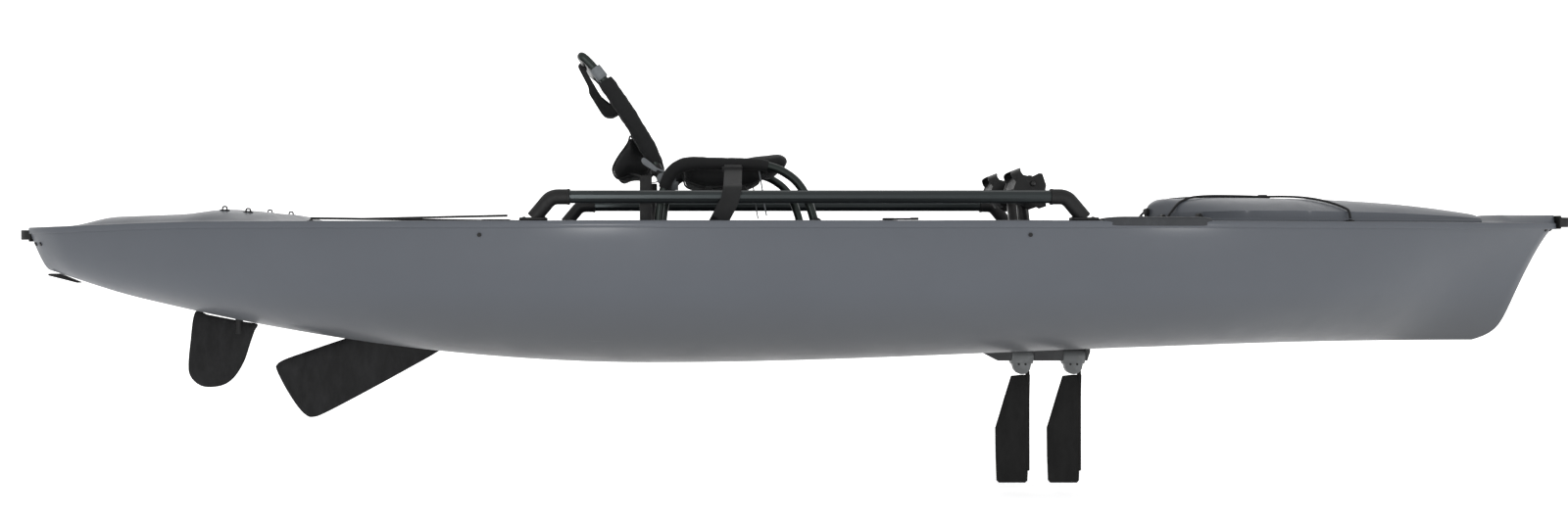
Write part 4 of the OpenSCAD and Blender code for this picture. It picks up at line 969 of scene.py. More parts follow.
@dataclass(frozen=True)
class Well:
    """A rounded-rectangle basin let into the deck, with a raised lip round its mouth."""

    name: str
    front: float
    rear: float
    half_y: float
    corner: float
    floor_z: float
    mid_y: float = 0.0
    lip: float = 16 * MM
    lip_rise: float = 3.5 * MM
    draft: float = 5 * MM
    fillet: float = 22 * MM
    wall: float = 3 * MM

    @property
    def mid(self) -> tuple[float, float]:
        """The mouth's middle."""
        return (self.front + self.rear) / 2, self.mid_y

    @property
    def half_x(self) -> float:
        """Half the mouth's length."""
        return (self.front - self.rear) / 2

    def cutter(self, low: float, high: float) -> Grid:
        """The hole that the well's mouth makes in the deck."""
        return prism((self.half_x, self.half_y), self.corner, self.mid, low, high)

    def surface(self, deck_z: float) -> Grid:
        """Rings of the mouth's outline, moved out and down by a profile.

        The profile rises over a rounded lip, falls down a drafted wall, turns through a quarter circle into the floor
        and ends in a pole at the floor's middle.
        """
        turn = np.linspace(0, math.pi / 2, 7)
        f = min(self.fillet, (deck_z - self.floor_z) * 0.6, self.half_y * 0.6)
        w, h = self.lip, self.lip_rise
        lip = [
            (w, 0.2 * MM), (w - 0.6 * MM, h * 0.6), (w * 0.75, h * 0.95), (w * 0.45, h), (w * 0.16, h * 0.8),
            (-0.3 * MM, 0.2 * h), (-0.8 * MM, -3 * MM),
        ]
        offsets = [o for o, _ in lip] + [-self.draft - f * (1 - math.cos(t)) for t in turn]
        levels = [deck_z + z for _, z in lip] + [self.floor_z + f * (1 - math.sin(t)) for t in turn]
        rows = np.stack([
            level_ring(
                (self.half_x + o, self.half_y + o), self.corner + o, self.mid, z
            ) for o, z in zip(offsets, levels)
        ])
        rows = np.concatenate([rows, np.broadcast_to(rows[-1].mean(0), rows[-1].shape)[None]])
        return rows, plain_uv(rows)

    def build(self, shop: Workshop, form: HullForm, replaces: Sequence[str], holes: Sequence[Grid] = ()) -> None:
        """Makes the basin, gives it a wall away from the water side and cuts its openings."""
        obj = walled(self.name, self.surface(form.deck_z), self.wall, -1.0, (0, 0, 1))
        cut(obj, holes)
        shade(obj, 40)
        shop.dress(obj, shop.look.hull, "boat", replaces)


# A side tray's half width, corner, floor and distance from the middle, and how its rim is drawn.
TRAY = (0.038, 0.022, 0.343, 0.345)
TRAY_RIM = {"lip": 7 * MM, "lip_rise": 2 * MM, "draft": 3 * MM, "fillet": 8 * MM}


def slot_cutter(span: Sequence[float], margin: float, corner: float, low: float, high: float) -> Grid:
    """A cutter over a slot given by its rear, its front and its half width, drawn in by a margin."""
    rear, front, half = span
    return prism(((front - rear) / 2 - margin, half - margin), corner, ((front + rear) / 2, 0), low, high)


@dataclass
class Hull:
    """The moulded hull, its deck and the wells in it."""

    form: HullForm = field(default_factory=HullForm)
    stations: int = 220
    girth: int = 34
    deck_columns: int = 44
    seam_out: float = 2.2 * MM
    seam_drop: float = 11 * MM
    cockpit: Well = Well("cockpit_well", 0.88, -0.66, 0.265, 0.06, 0.132)
    cargo: Well = Well("cargo_basin", -0.72, -1.265, 0.215, 0.04, 0.2775)
    tray_rear: Well = Well("side_tray_rear", 0.02, -0.55, *TRAY, **TRAY_RIM)
    tray_front: Well = Well("side_tray_front", 0.60, 0.33, *TRAY, **TRAY_RIM)
    # rear, front and half width of each slot
    trunk: tuple[float, float, float] = (0.494, 0.806, 0.050)
    skeg_slot: tuple[float, float, float] = (-1.430, -0.885, 0.024)
    floor_hatch: tuple[float, float, float] = (0.112, 0.412, 0.105)
    rudder_x: float = -1.5
    # x and y of the hatch opening's corners, and x, y and radius of the round holes
    hatch_hole: tuple[tuple[float, float], ...] = (
        (1.062, -0.18), (1.605, -0.092), (1.605, 0.092), (1.062, 0.18), (1.062, -0.18)
    )
    rod_hole: tuple[float, float, float] = (-0.76, 0.335, 25.5 * MM)
    lever_hole: tuple[float, float, float] = (0.205, 0.345, 7 * MM)

    def shell_grids(self) -> list[Grid]:
        """Outer and inner skins, joined along the gunwale and across both ends, as one closed surface."""
        form = self.form
        x = form.stations(self.stations)
        inner_x = np.interp(np.arange(self.stations), [0, self.stations - 1], [0, 1])
        inner_x = -form.half_len + form.wall + (2 * form.half_len - 4 * form.wall) * (1 - np.cos(math.pi * inner_x)) / 2
        outer, inner = form.skin(x, 0.0, self.girth), form.skin(inner_x, form.wall, self.girth)
        rims = [np.stack([outer[:, k], inner[:, k]]) for k in (0, -1)]
        ends = [
            np.stack([skin[k, : self.girth + 1], skin[k, self.girth :][::-1]]) for skin in (outer, inner)
            for k in (0, -1)
        ]
        return [(g, plain_uv(g)) for g in [outer, inner, *rims, *ends]]

    def shell_ends(self) -> list[Grid]:
        """The strips between the two skins' end rows at the gunwale."""
        form = self.form
        strips = []
        for outer_x, inner_x in (
            (-form.half_len, -form.half_len + form.wall), (form.half_len, form.half_len - 3 * form.wall)
        ):
            a = form.skin(np.array([outer_x]), 0.0, self.girth)[0]
            b = form.skin(np.array([inner_x]), form.wall, self.girth)[0]
            strip = np.stack([a[[0, -1]], b[[0, -1]]])
            strips.append((strip, plain_uv(strip)))
        return strips

    def build_shell(self, shop: Workshop) -> None:
        """Builds the hull's skins and cuts the drive slot, the skeg slot and the rudder's bore."""
        obj = meshed("hull_skin", [*self.shell_grids(), *self.shell_ends()])
        cut(obj, [
            slot_cutter(self.trunk, 0, 10 * MM, -0.03, 0.14),
            slot_cutter(self.skeg_slot, 0, 8 * MM, -0.03, 0.14),
            rod((self.rudder_x, 0, 0.05), (self.rudder_x, 0, 0.15), 0.020, 0.1 * MM),
        ])
        shade(obj, 38)
        shop.dress(obj, shop.look.hull, "boat", ["hull_shell"])

    def deck_rows(self) -> Array:
        """A closed loop across the deck at each station.

        It starts under the port edge, goes round an outer lip that hangs over the hull's side, over the domed top to
        the starboard lip and back below. The dome falls off with the fourth power of the distance from the middle.
        """
        form = self.form
        x = form.stations(self.stations)
        half, sheer, crown = form.half_beam(x)[:, None], form.sheer(x)[:, None], form.crown(x)[:, None]
        out, drop, t = self.seam_out, self.seam_drop, form.wall
        lip = np.array([
            (-4 * MM, -drop + 0.4 * MM), (out * 0.4, -drop), (out * 0.85, -drop + 0.7 * MM), (out, -drop + 2 * MM),
            (out, t - 4 * MM), (out * 0.75, t - 2.2 * MM), (out * 0.1, t - 0.7 * MM), (-2.5 * MM, t),
        ])
        v = np.linspace(1, -1, self.deck_columns)[None]
        top_y, top_z = v * (half - 5 * MM), sheer + t + crown * (1 - v**4)
        low_y, low_z = v[:, ::-1] * (half - 7 * MM), sheer + 0.6 * MM + crown * (1 - v**4)
        side_y, side_z = half + lip[None, :, 0], sheer + lip[None, :, 1]
        under = np.array([-6 * MM, 0.6 * MM])
        ys = np.hstack([side_y, top_y, -side_y[:, ::-1], -(half + under[0]), low_y, half + under[0], side_y[:, :1]])
        zs = np.hstack([side_z, top_z, side_z[:, ::-1], sheer + under[1], low_z, sheer + under[1], side_z[:, :1]])
        return points_of(x[:, None], ys, zs)

    def build_deck(self, shop: Workshop) -> None:
        """Builds the deck panel, with every opening that the wells, hatch, rod holders and levers need."""
        form = self.form
        obj = meshed("deck_panel", [capped(self.deck_rows())])
        low, high = form.sheer_z - 0.02, form.deck_z + 0.06
        hatch = np.array(self.hatch_hole)
        hatch_cut = capped(np.stack([np.column_stack([hatch, np.full(len(hatch), z)]) for z in (low, high)]))
        holes = [self.cockpit.cutter(low, high), self.cargo.cutter(low, high), hatch_cut]
        for side, _ in SIDES:
            for x, y, r in (self.rod_hole, self.lever_hole):
                holes.append(rod((x, side * y, low), (x, side * y, high), r, 0.1 * MM))
            for tray in (self.tray_rear, self.tray_front):
                holes.append(replace(tray, mid_y=side * tray.mid_y).cutter(low, high))
        cut(obj, holes)
        shade(obj, 38)
        shop.dress(obj, shop.look.hull, "boat", ["deck"])

    def build_wells(self, shop: Workshop) -> None:
        """Builds the cockpit, the cargo well and the side trays."""
        mouth = slot_cutter(self.trunk, 6 * MM, 6 * MM, 0.10, 0.16)
        storage = slot_cutter(self.floor_hatch, 0, 12 * MM, 0.10, 0.16)
        self.cockpit.build(shop, self.form, ["cockpit_tub"], [mouth, storage])
        self.cargo.build(shop, self.form, ["cargo_well"])
        for tray in (self.tray_rear, self.tray_front):
            for side, word in SIDES:
                replace(tray, name=f"{tray.name}_{word}", mid_y=side * tray.mid_y).build(shop, self.form, [])

    def build(self, shop: Workshop) -> None:
        """Builds the whole moulding."""
        self.build_shell(shop)
        self.build_deck(shop)
        self.build_wells(shop)
        shop.keep(shop.look.hull, "drive_trunk", "skeg_trunk")
        shop.keep(shop.look.black, "hatch_liner")


# ---- Hatch, rails and deck fittings ---------------------------------------------------------------


@dataclass
class HatchLid:
    """The big bow hatch's lid, its hinge, its shock cords and their hooks."""

    form: HullForm = field(default_factory=HullForm)
    rear: float = 0.952
    front: float = 1.795
    half: float = 0.29
    rise: float = 0.067
    round_over: float = 0.2
    wall: float = 4 * MM
    base_z: float = 0.3685
    rim: float = 5 * MM
    stations: int = 90
    columns: int = 56
    clip_x: float = 1.262
    rear_hook: tuple[float, float] = (0.960, 0.125)
    front_hook_x: float = 1.372
    latches: tuple[tuple[float, float], ...] = ((0.964, 0.090), (1.020, 0.199))

    def half_at(self, x: Array) -> Array:
        """Half width: rounded at the rear by a power of a parabola, and following the gunwale to the bow."""
        t = np.minimum(1, (x - self.rear + 2 * MM) / self.round_over)
        return np.minimum(self.half, self.form.half_beam(x) - 0.048) * (1 - (1 - t) ** 2) ** 0.8

    def crown(self, x: Array) -> Array:
        """Height at the middle: quick to rise at the rear, and falling slowly towards the bow."""
        share = (x - self.rear) / (self.front - self.rear)
        lift = 0.62 + 0.38 * np.minimum(1, (x - self.rear) / 0.034) ** 0.5
        return self.rise * (1 - 0.62 * share**3.2) * lift * (0.96 + 0.04 * smooth(share / 0.2))

    def top(self, x: Array, y: Array) -> Array:
        """Height of the lid's surface: a low side, then a rounded shoulder."""
        v = np.minimum(np.abs(y) / self.half_at(x), 1)
        return self.base_z + self.crown(x) * (0.4 + 0.6 * (1 - v**2.8))

    def skin(self) -> Grid:
        """Rows across the lid: a small rim, up the side and over the crown."""
        x = self.rear + (self.front - self.rear) * np.linspace(0, 1, self.stations) ** 1.7
        w = self.half_at(x)[:, None]
        v = np.sin(np.linspace(math.pi / 2, -math.pi / 2, self.columns))[None]
        rise = self.crown(x)[:, None] * (0.4 + 0.6 * (1 - np.abs(v) ** 2.8))
        grow = np.minimum(1, (x - self.rear) / 0.02)[:, None] * self.rim
        out = np.array([[0.9, 1.0, 1.0, 0.75, 0.12, 0.0]]) * grow
        up = np.array([[0.0, 1.0, 4.5, 6.5, 8.0, 10.5]]) * MM
        shoulder = np.array([[-0.004, 0.0]]) * grow
        y = np.hstack([w + out, v * w + shoulder[:, :1], -(w + out)[:, ::-1]])
        z = self.base_z + np.hstack([np.broadcast_to(up, out.shape), rise, np.broadcast_to(up[:, ::-1], out.shape)])
        rows = points_of(x[:, None], y, z)
        flat = rows.copy()
        flat[..., 2] = self.base_z
        rows = np.concatenate([flat[:1], rows, flat[-1:]])
        return rows, plain_uv(rows)

    def cord_path(self, side: int) -> Array:
        """From the rear hook up over the lid, through the clip at its middle, and down to the front hook."""
        lift = CORD_R + 2.2 * MM
        t = np.linspace(0, 1, 9)[:, None]
        clip, front = np.array([[self.clip_x, 0.010]]), self.front_hook_x
        wide = float(self.half_at(front))
        near = np.array([[1.0, 0.110]]) * (1 - t) + clip * t
        far = (clip * (1 - t) + np.array([[front, wide - 6 * MM]]) * t)[1:]
        legs = np.vstack([near, far])
        edge = float(self.top(front, wide)) + 1.2 * MM
        points = np.vstack([
            (*self.rear_hook, HOOK_Z),
            (0.987, 0.115, float(self.top(0.988, 0.114)) + 7.5 * MM),
            np.column_stack([legs, self.top(legs[:, 0], legs[:, 1]) + lift]),
            (front, wide + 6.5 * MM, edge),
            (front, wide + 13 * MM, HOOK_Z),
        ])
        points[:, 1] *= side
        return eased(points, 14 * MM, 6)

    def build_cords(self, shop: Workshop) -> None:
        """Builds the two shock cords and the clip that holds them."""
        for side, word in SIDES:
            shop.shock_cord(f"hatch_shock_cord_{word}", self.cord_path(side), (0, 0.1, 1), "hatch_lid", "hatch_cord")
        z = float(self.top(self.clip_x, 0.0))
        x = self.clip_x
        clip = [
            brick((x - 0.016, -0.015, z + 0.6 * MM), (x + 0.016, 0.015, z + 8 * MM), 6 * MM, 2.5 * MM),
            rod((x - 0.012, 0, z + 9 * MM), (x + 0.012, 0, z + 9 * MM), 2.2 * MM, 1 * MM),
        ]
        shop.piece("hatch_cord_clip", clip, shop.look.black, "hatch_lid", ["hatch_cord"])

    def build(self, shop: Workshop) -> None:
        """Builds the lid with its wall, hinge and fittings."""
        obj = walled("hatch_lid_skin", self.skin(), self.wall, -1.0, (0, 0, 1))
        shade(obj, 42)
        shop.dress(obj, shop.look.hull, "hatch_lid", ["hatch_lid"])
        hinge_x, hinge_z = self.front + 9 * MM, self.base_z + 14.5 * MM
        knuckle = [
            rod((hinge_x, -0.040, hinge_z), (hinge_x, 0.040, hinge_z), 2.5 * MM),
            rod((hinge_x, -0.022, hinge_z), (hinge_x, 0.022, hinge_z), 6 * MM),
            brick((hinge_x - 9.5 * MM, -0.022, hinge_z - 4 * MM), (hinge_x - 1 * MM, 0.022, hinge_z + 4 * MM)),
        ]
        shop.piece("hatch_knuckle", knuckle, shop.look.black, "hatch_lid")
        self.build_cords(shop)
        for side, word in SIDES:
            for k, (x, y) in enumerate(self.latches):
                z = min(float(self.top(x, 0.7 * y)), self.base_z + 23 * MM) - 5 * MM
                low, high = side * y - 12 * MM, side * y + 12 * MM
                latch = [
                    brick((x - 7 * MM, low, self.base_z + 2 * MM), (x + 4 * MM, high, z), 3 * MM, 2 * MM),
                    rod((x - 2 * MM, low, z), (x - 2 * MM, high, z), 4.5 * MM, 2 * MM),
                ]
                shop.piece(f"hatch_latch_{k}_{word}", latch, shop.look.black, "boat")
        shop.ease_edges("hatch_pull", shop.look.webbing, "hatch_lid", 1.5 * MM)
        shop.ease_edges("hatch_hinge_base", shop.look.black, "boat", 1 * MM)
        shop.ease_edges("cord_hooks", shop.look.black, "boat", 1 * MM)


@dataclass
class DeckFittings:
    """Rails, their elbows, boards, handles, rod holders, levers and the cargo cords."""

    form: HullForm = field(default_factory=HullForm)
    rail_y: float = 0.420
    rail_z: float = 0.4255
    front_end: float = 0.582
    rear_end: float = -0.569
    elbow_r: float = 18.5 * MM
    cargo_front: float = -0.745
    cargo_rear: float = -1.240
    cargo_y: float = 0.243
    screw: tuple[tuple[float, float], ...] = ((0.0045, -0.001), (0.0045, 0.0006), (0.003, 0.002), (0.0006, 0.0024))
    board_rear: float = 0.706
    board_front: float = 0.978
    padeyes: tuple[float, float] = (-1.415, -1.475)
    padeye_y: float = 0.19

    def build_rails(self, shop: Workshop) -> None:
        """Keeps the extruded rails and builds their moulded elbows, feet and foot screws."""
        shop.keep(shop.look.rail, "rail_starboard", "rail_port")
        ends = ((self.front_end, 1, 39 * MM, 0.664), (self.rear_end, -1, 45 * MM, -0.657))
        for side, word in SIDES:
            y = side * self.rail_y
            for end, way, reach, foot_x in ends:
                path = eased([
                    (end + way * 0.5 * MM, y, self.rail_z),
                    (end + way * reach, y, self.rail_z),
                    (end + way * (reach + 43 * MM), y, 0.374),
                ], 16 * MM, 10)
                inner = end - way * 26 * MM
                grids = [
                    swept(path, circle(self.elbow_r, 30), (0, 1, 0)),
                    rod((inner, y, self.rail_z), (end + way * 2 * MM, y, self.rail_z), 12.9 * MM),
                    rod(
                        (end + way * 0.4 * MM, y, self.rail_z), (end + way * 7 * MM, y, self.rail_z), 19.6 * MM,
                        1.5 * MM
                    ),
                    brick((foot_x - 0.033, y - 0.021, 0.3683), (foot_x + 0.033, y + 0.021, 0.376), 10 * MM, 2.5 * MM),
                ]
                for sx in (-0.024, 0.024):
                    grids.append(turned((foot_x + sx, y - side * 0.010, 0.376), self.screw))
                name = f"rail_elbow_{'front' if way > 0 else 'rear'}_{word}"
                shop.piece(name, grids, shop.look.black, "boat", ["rail_brackets"])

    def build_cargo_cords(self, shop: Workshop) -> None:
        """Builds the two shock cords that cross over the cargo well."""
        for k, (side, z) in enumerate(((1, HOOK_Z), (-1, HOOK_Z + 6.5 * MM))):
            path = spline([(self.cargo_front, side * self.cargo_y, z), (self.cargo_rear, -side * self.cargo_y, z)], 24)
            shop.shock_cord(f"cargo_shock_cord_{k}", path, (0, 0, 1), "boat", "cargo_cords")

    def build_boards(self, shop: Workshop) -> None:
        """Builds the mounting strips on the gunwale: an L section that thins towards both ends."""
        section = rounded_polygon(
            [(-29, 0.5), (-29, 9), (-22, 10), (24, 10), (29.5, 7), (30, -12), (26.8, -13), (26.8, 0.5)], 2.5, 4
        ) * MM
        share = np.linspace(0, 1, 60)
        x = self.board_rear + (self.board_front - self.board_rear) * share
        size = np.clip(1.02 - 0.55 * np.exp(-share / 0.06) - 0.5 * np.exp(-(1 - share) / 0.05), 0.05, 1)
        for side, word in SIDES:
            middle = self.form.half_beam(x) - 26 * MM
            y = side * (middle[:, None] + section[None, :, 0] * (0.75 + 0.25 * size[:, None]) - 0.5 * MM)
            z = self.form.deck_z + np.where(
                section[None, :, 1] > 2 * MM, section[None, :, 1] * size[:, None], section[None, :, 1]
            )
            shop.piece(
                f"gunwale_board_{word}", [capped(points_of(x[:, None], y, z))], shop.look.board, "boat",
                ["accessory_boards"]
            )

    def build_small_parts(self, shop: Workshop) -> None:
        """Finishes the moulded fittings and adds padeyes on the stern deck."""
        look = shop.look
        widths = {
            "bow_handle": 3, "stern_handle": 3, "keel_guard": 1.5, "drain_plug": 1, "rod_holders": 1.5,
            "floor_hatch_tray": 1, "steering_pods": 0.8,
        }
        for node, width in widths.items():
            shop.ease_edges(node, look.black, "boat", width * MM)
        shop.ease_edges("deck_pads", look.foam, "boat", 1.5 * MM)
        shop.ease_edges("floor_hatch_lid", look.hull, "floor_hatch_lid", 1.5 * MM)
        for _, word in SIDES:
            shop.ease_edges(f"steering_handle_{word}", look.black, f"steering_handle_{word}", 1.2 * MM)
        shop.keep(look.black, "hull_screws", "rudder_bush", "idler_pulleys")
        shop.keep(look.steel, "drum_shaft", "crank_shaft", "skeg_pin", "recline_pins", "drive_chains", "steering_lines")
        for side, word in SIDES:
            eyes, y = [], side * self.padeye_y
            for x in self.padeyes:
                v = y / float(self.form.half_beam(x))
                z = float(self.form.sheer(x) + self.form.wall + self.form.crown(x) * (1 - v**4)) - 1 * MM
                eyes.append(brick((x - 0.012, y - 0.006, z), (x + 0.012, y + 0.006, z + 3.5 * MM), 4 * MM, 1 * MM))
                corners = ((-6, 2), (-5, 11), (5, 11), (6, 2))
                hoop = eased([(x + dx * MM, y, z + dz * MM) for dx, dz in corners], 4 * MM)
                eyes.append(swept(hoop, circle(2 * MM, 10), (0, 1, 0)))
            shop.piece(f"stern_padeyes_{word}", eyes, look.black, "boat")

    def build(self, shop: Workshop) -> None:
        """Builds all the fittings."""
        self.build_cargo_cords(shop)
        self.build_rails(shop)
        self.build_boards(shop)
        self.build_small_parts(shop)


# ---- Seat -----------------------------------------------------------------------------------------


@dataclass
class Seat:
    """The seat's bent tube frame, its legs, sling, front pad and tie-down straps."""

    tube_r: float = 11 * MM
    side_y: float = 0.240
    loop: tuple[tuple[float, float], ...] = (
        (-0.366, 0.138), (-0.362, 0.415), (-0.324, 0.517), (-0.074, 0.513), (0.0, 0.465), (0.036, 0.365),
        (0.056, 0.172), (0.056, 0.138),
    )
    pan: tuple[tuple[float, float], ...] = (
        (-0.304, 0.516), (-0.300, 0.474), (-0.246, 0.456), (-0.130, 0.462), (-0.086, 0.484), (-0.086, 0.522),
        (-0.200, 0.518),
    )
    pad: tuple[tuple[float, float], ...] = (
        (-0.165, 0.514), (-0.130, 0.531), (-0.083, 0.537), (-0.046, 0.541), (-0.029, 0.530), (-0.035, 0.514),
        (-0.058, 0.499), (-0.084, 0.497),
    )
    half: float = 0.222
    bar_z: float = 0.365
    foot_z: float = 0.1322
    sleeve_rear: tuple[float, float] = (-0.352, 0.455)
    sleeve_front: tuple[float, float] = (-0.088, 0.513)
    foot: tuple[tuple[float, float], ...] = (
        (0.017, 0), (0.022, 0.001), (0.022, 0.005), (0.019, 0.008), (0.0145, 0.009), (0.014, 0.020), (0.012, 0.021),
    )

    def side_path(self, side: int) -> Array:
        """The bent tube's centre line on one side."""
        return eased([(x, side * self.side_y, z) for x, z in self.loop], 60 * MM, 12)

    def build_frame(self, shop: Workshop) -> None:
        """Builds both bent sides, the cross tubes and the feet."""
        grids = []
        for side, _ in SIDES:
            grids.append(swept(self.side_path(side), circle(self.tube_r, 24), (0, 1, 0)))
        for x in (0.036, -0.362):
            grids.append(rod((x, -self.side_y, self.bar_z), (x, self.side_y, self.bar_z), 9 * MM))
        shop.piece("seat_tubes", grids, shop.look.tube, "boat", ["seat_frame"])
        feet = []
        for side, _ in SIDES:
            for x in (-0.366, 0.056):
                feet.append(turned((x, side * self.side_y, self.foot_z), self.foot))
            y = side * self.side_y
            feet.append(rod((0.0365, y - 0.014, self.bar_z), (0.0365, y + 0.014, self.bar_z), 14 * MM, 2 * MM))
        shop.piece("seat_feet", feet, shop.look.black, "boat", ["seat_frame"])
        shop.ease_edges("seat_posts", shop.look.black, "boat", 2.5 * MM)
        shop.ease_edges("recline_brackets", shop.look.collar, "boat", 1.2 * MM)

    def build_sleeves(self, shop: Workshop) -> None:
        """Builds the padded sleeves that wrap the tubes along the sling, with stitched ends."""
        for side, word in SIDES:
            path = self.side_path(side)
            lengths = run_lengths(path)
            start, end = (
                lengths[np.argmin(np.linalg.norm(path[:, ::2] - spot, axis=1))] for spot in (
                    self.sleeve_rear, self.sleeve_front
                )
            )
            at = np.linspace(start, end, 70)
            line = np.stack([np.interp(at, lengths, path[:, k]) for k in range(3)], -1)
            share = (at - start) / (end - start)
            fat = 1 + 0.16 * np.exp(-(((share - 0.28) / 0.16) ** 2)) + 0.025 * np.sin(share * 61) * np.sin(share * 17)
            fat *= 1 - 0.12 * np.exp(-share / 0.015) - 0.12 * np.exp(-(1 - share) / 0.015)
            profile = circle(1.0, 26) * (15.5 * MM, 13.5 * MM)
            shop.piece(f"seat_sleeve_{word}", [swept(line, profile, (0, 1, 0), fat)], shop.look.cloth, "boat")

    def build_soft_parts(self, shop: Workshop) -> None:
        """Builds the sling, its front pad, the seams and the small buckles under the sling."""
        edge = rounded_polygon(self.pan, 14 * MM)
        sling = pillow(edge, self.half - 2 * MM, 44, 9 * MM, 14.0)
        shop.stuffed("seat_sling", sling, 5 * MM, "boat", "seat_pan")
        roll = pillow(closed_spline(self.pad, 61), self.half - 2 * MM, 40, 0.0, 12.0)
        shop.stuffed("seat_front_roll", roll, 4 * MM, "boat", "seat_front_pad")
        seams = []
        for side, _ in SIDES:
            seams.append(piping(edge, side * (self.half - 16 * MM)))
            for x in (-0.235, -0.150):
                low = np.array([x - 9 * MM, side * 0.212 - 4 * MM, 0.443 + 0.02 * (x + 0.235)])
                seams.append(brick(low, low + np.array([18, 8, 17]) * MM, 3 * MM, 1.5 * MM))
        shop.piece("sling_seams", seams, shop.look.webbing, "boat")

    def build_straps(self, shop: Workshop) -> None:
        """Builds the webbing straps that tie the seat down over the rails, and the pale lanyard."""
        for side, word in SIDES:
            route = [
                (-0.174, 0.253, 0.511), (-0.174, 0.281, 0.503), (-0.180, 0.441, 0.4475), (-0.186, 0.440, 0.4155),
                (-0.210, 0.435, 0.371)
            ]
            path = eased([(x, side * y, z) for x, y, z in route], 14 * MM, 8)
            keep = path[:, 2] > 0.3702
            profile = band(44 * MM, 3 * MM)[:, ::-1]
            grids = [swept(path[keep], profile, (1, 0, 0))]
            grids.append(brick(
                (-0.202, side * 0.296 - 7 * MM, 0.492), (-0.152, side * 0.296 + 7 * MM, 0.5045), 3 * MM, 1.5 * MM
            ))
            shop.piece(f"seat_strap_{word}", grids, shop.look.webbing, "boat", ["seat_straps"])
            pale = Finish(shop.look.collar.material, "cord")
            cord = spline(
                [
                    (-0.108, side * 0.232, 0.500), (-0.100, side * 0.236, 0.455), (-0.094, side * 0.240, 0.410),
                    (-0.089, side * 0.243, 0.384)
                ],
                20
            )
            shop.piece(f"seat_lanyard_{word}", [swept(cord, circle(1.8 * MM, 10), (1, 0, 0))], pale, "boat")

    def build(self, shop: Workshop) -> None:
        """Builds the whole seat base."""
        self.build_frame(shop)
        self.build_sleeves(shop)
        self.build_soft_parts(shop)
        self.build_straps(shop)


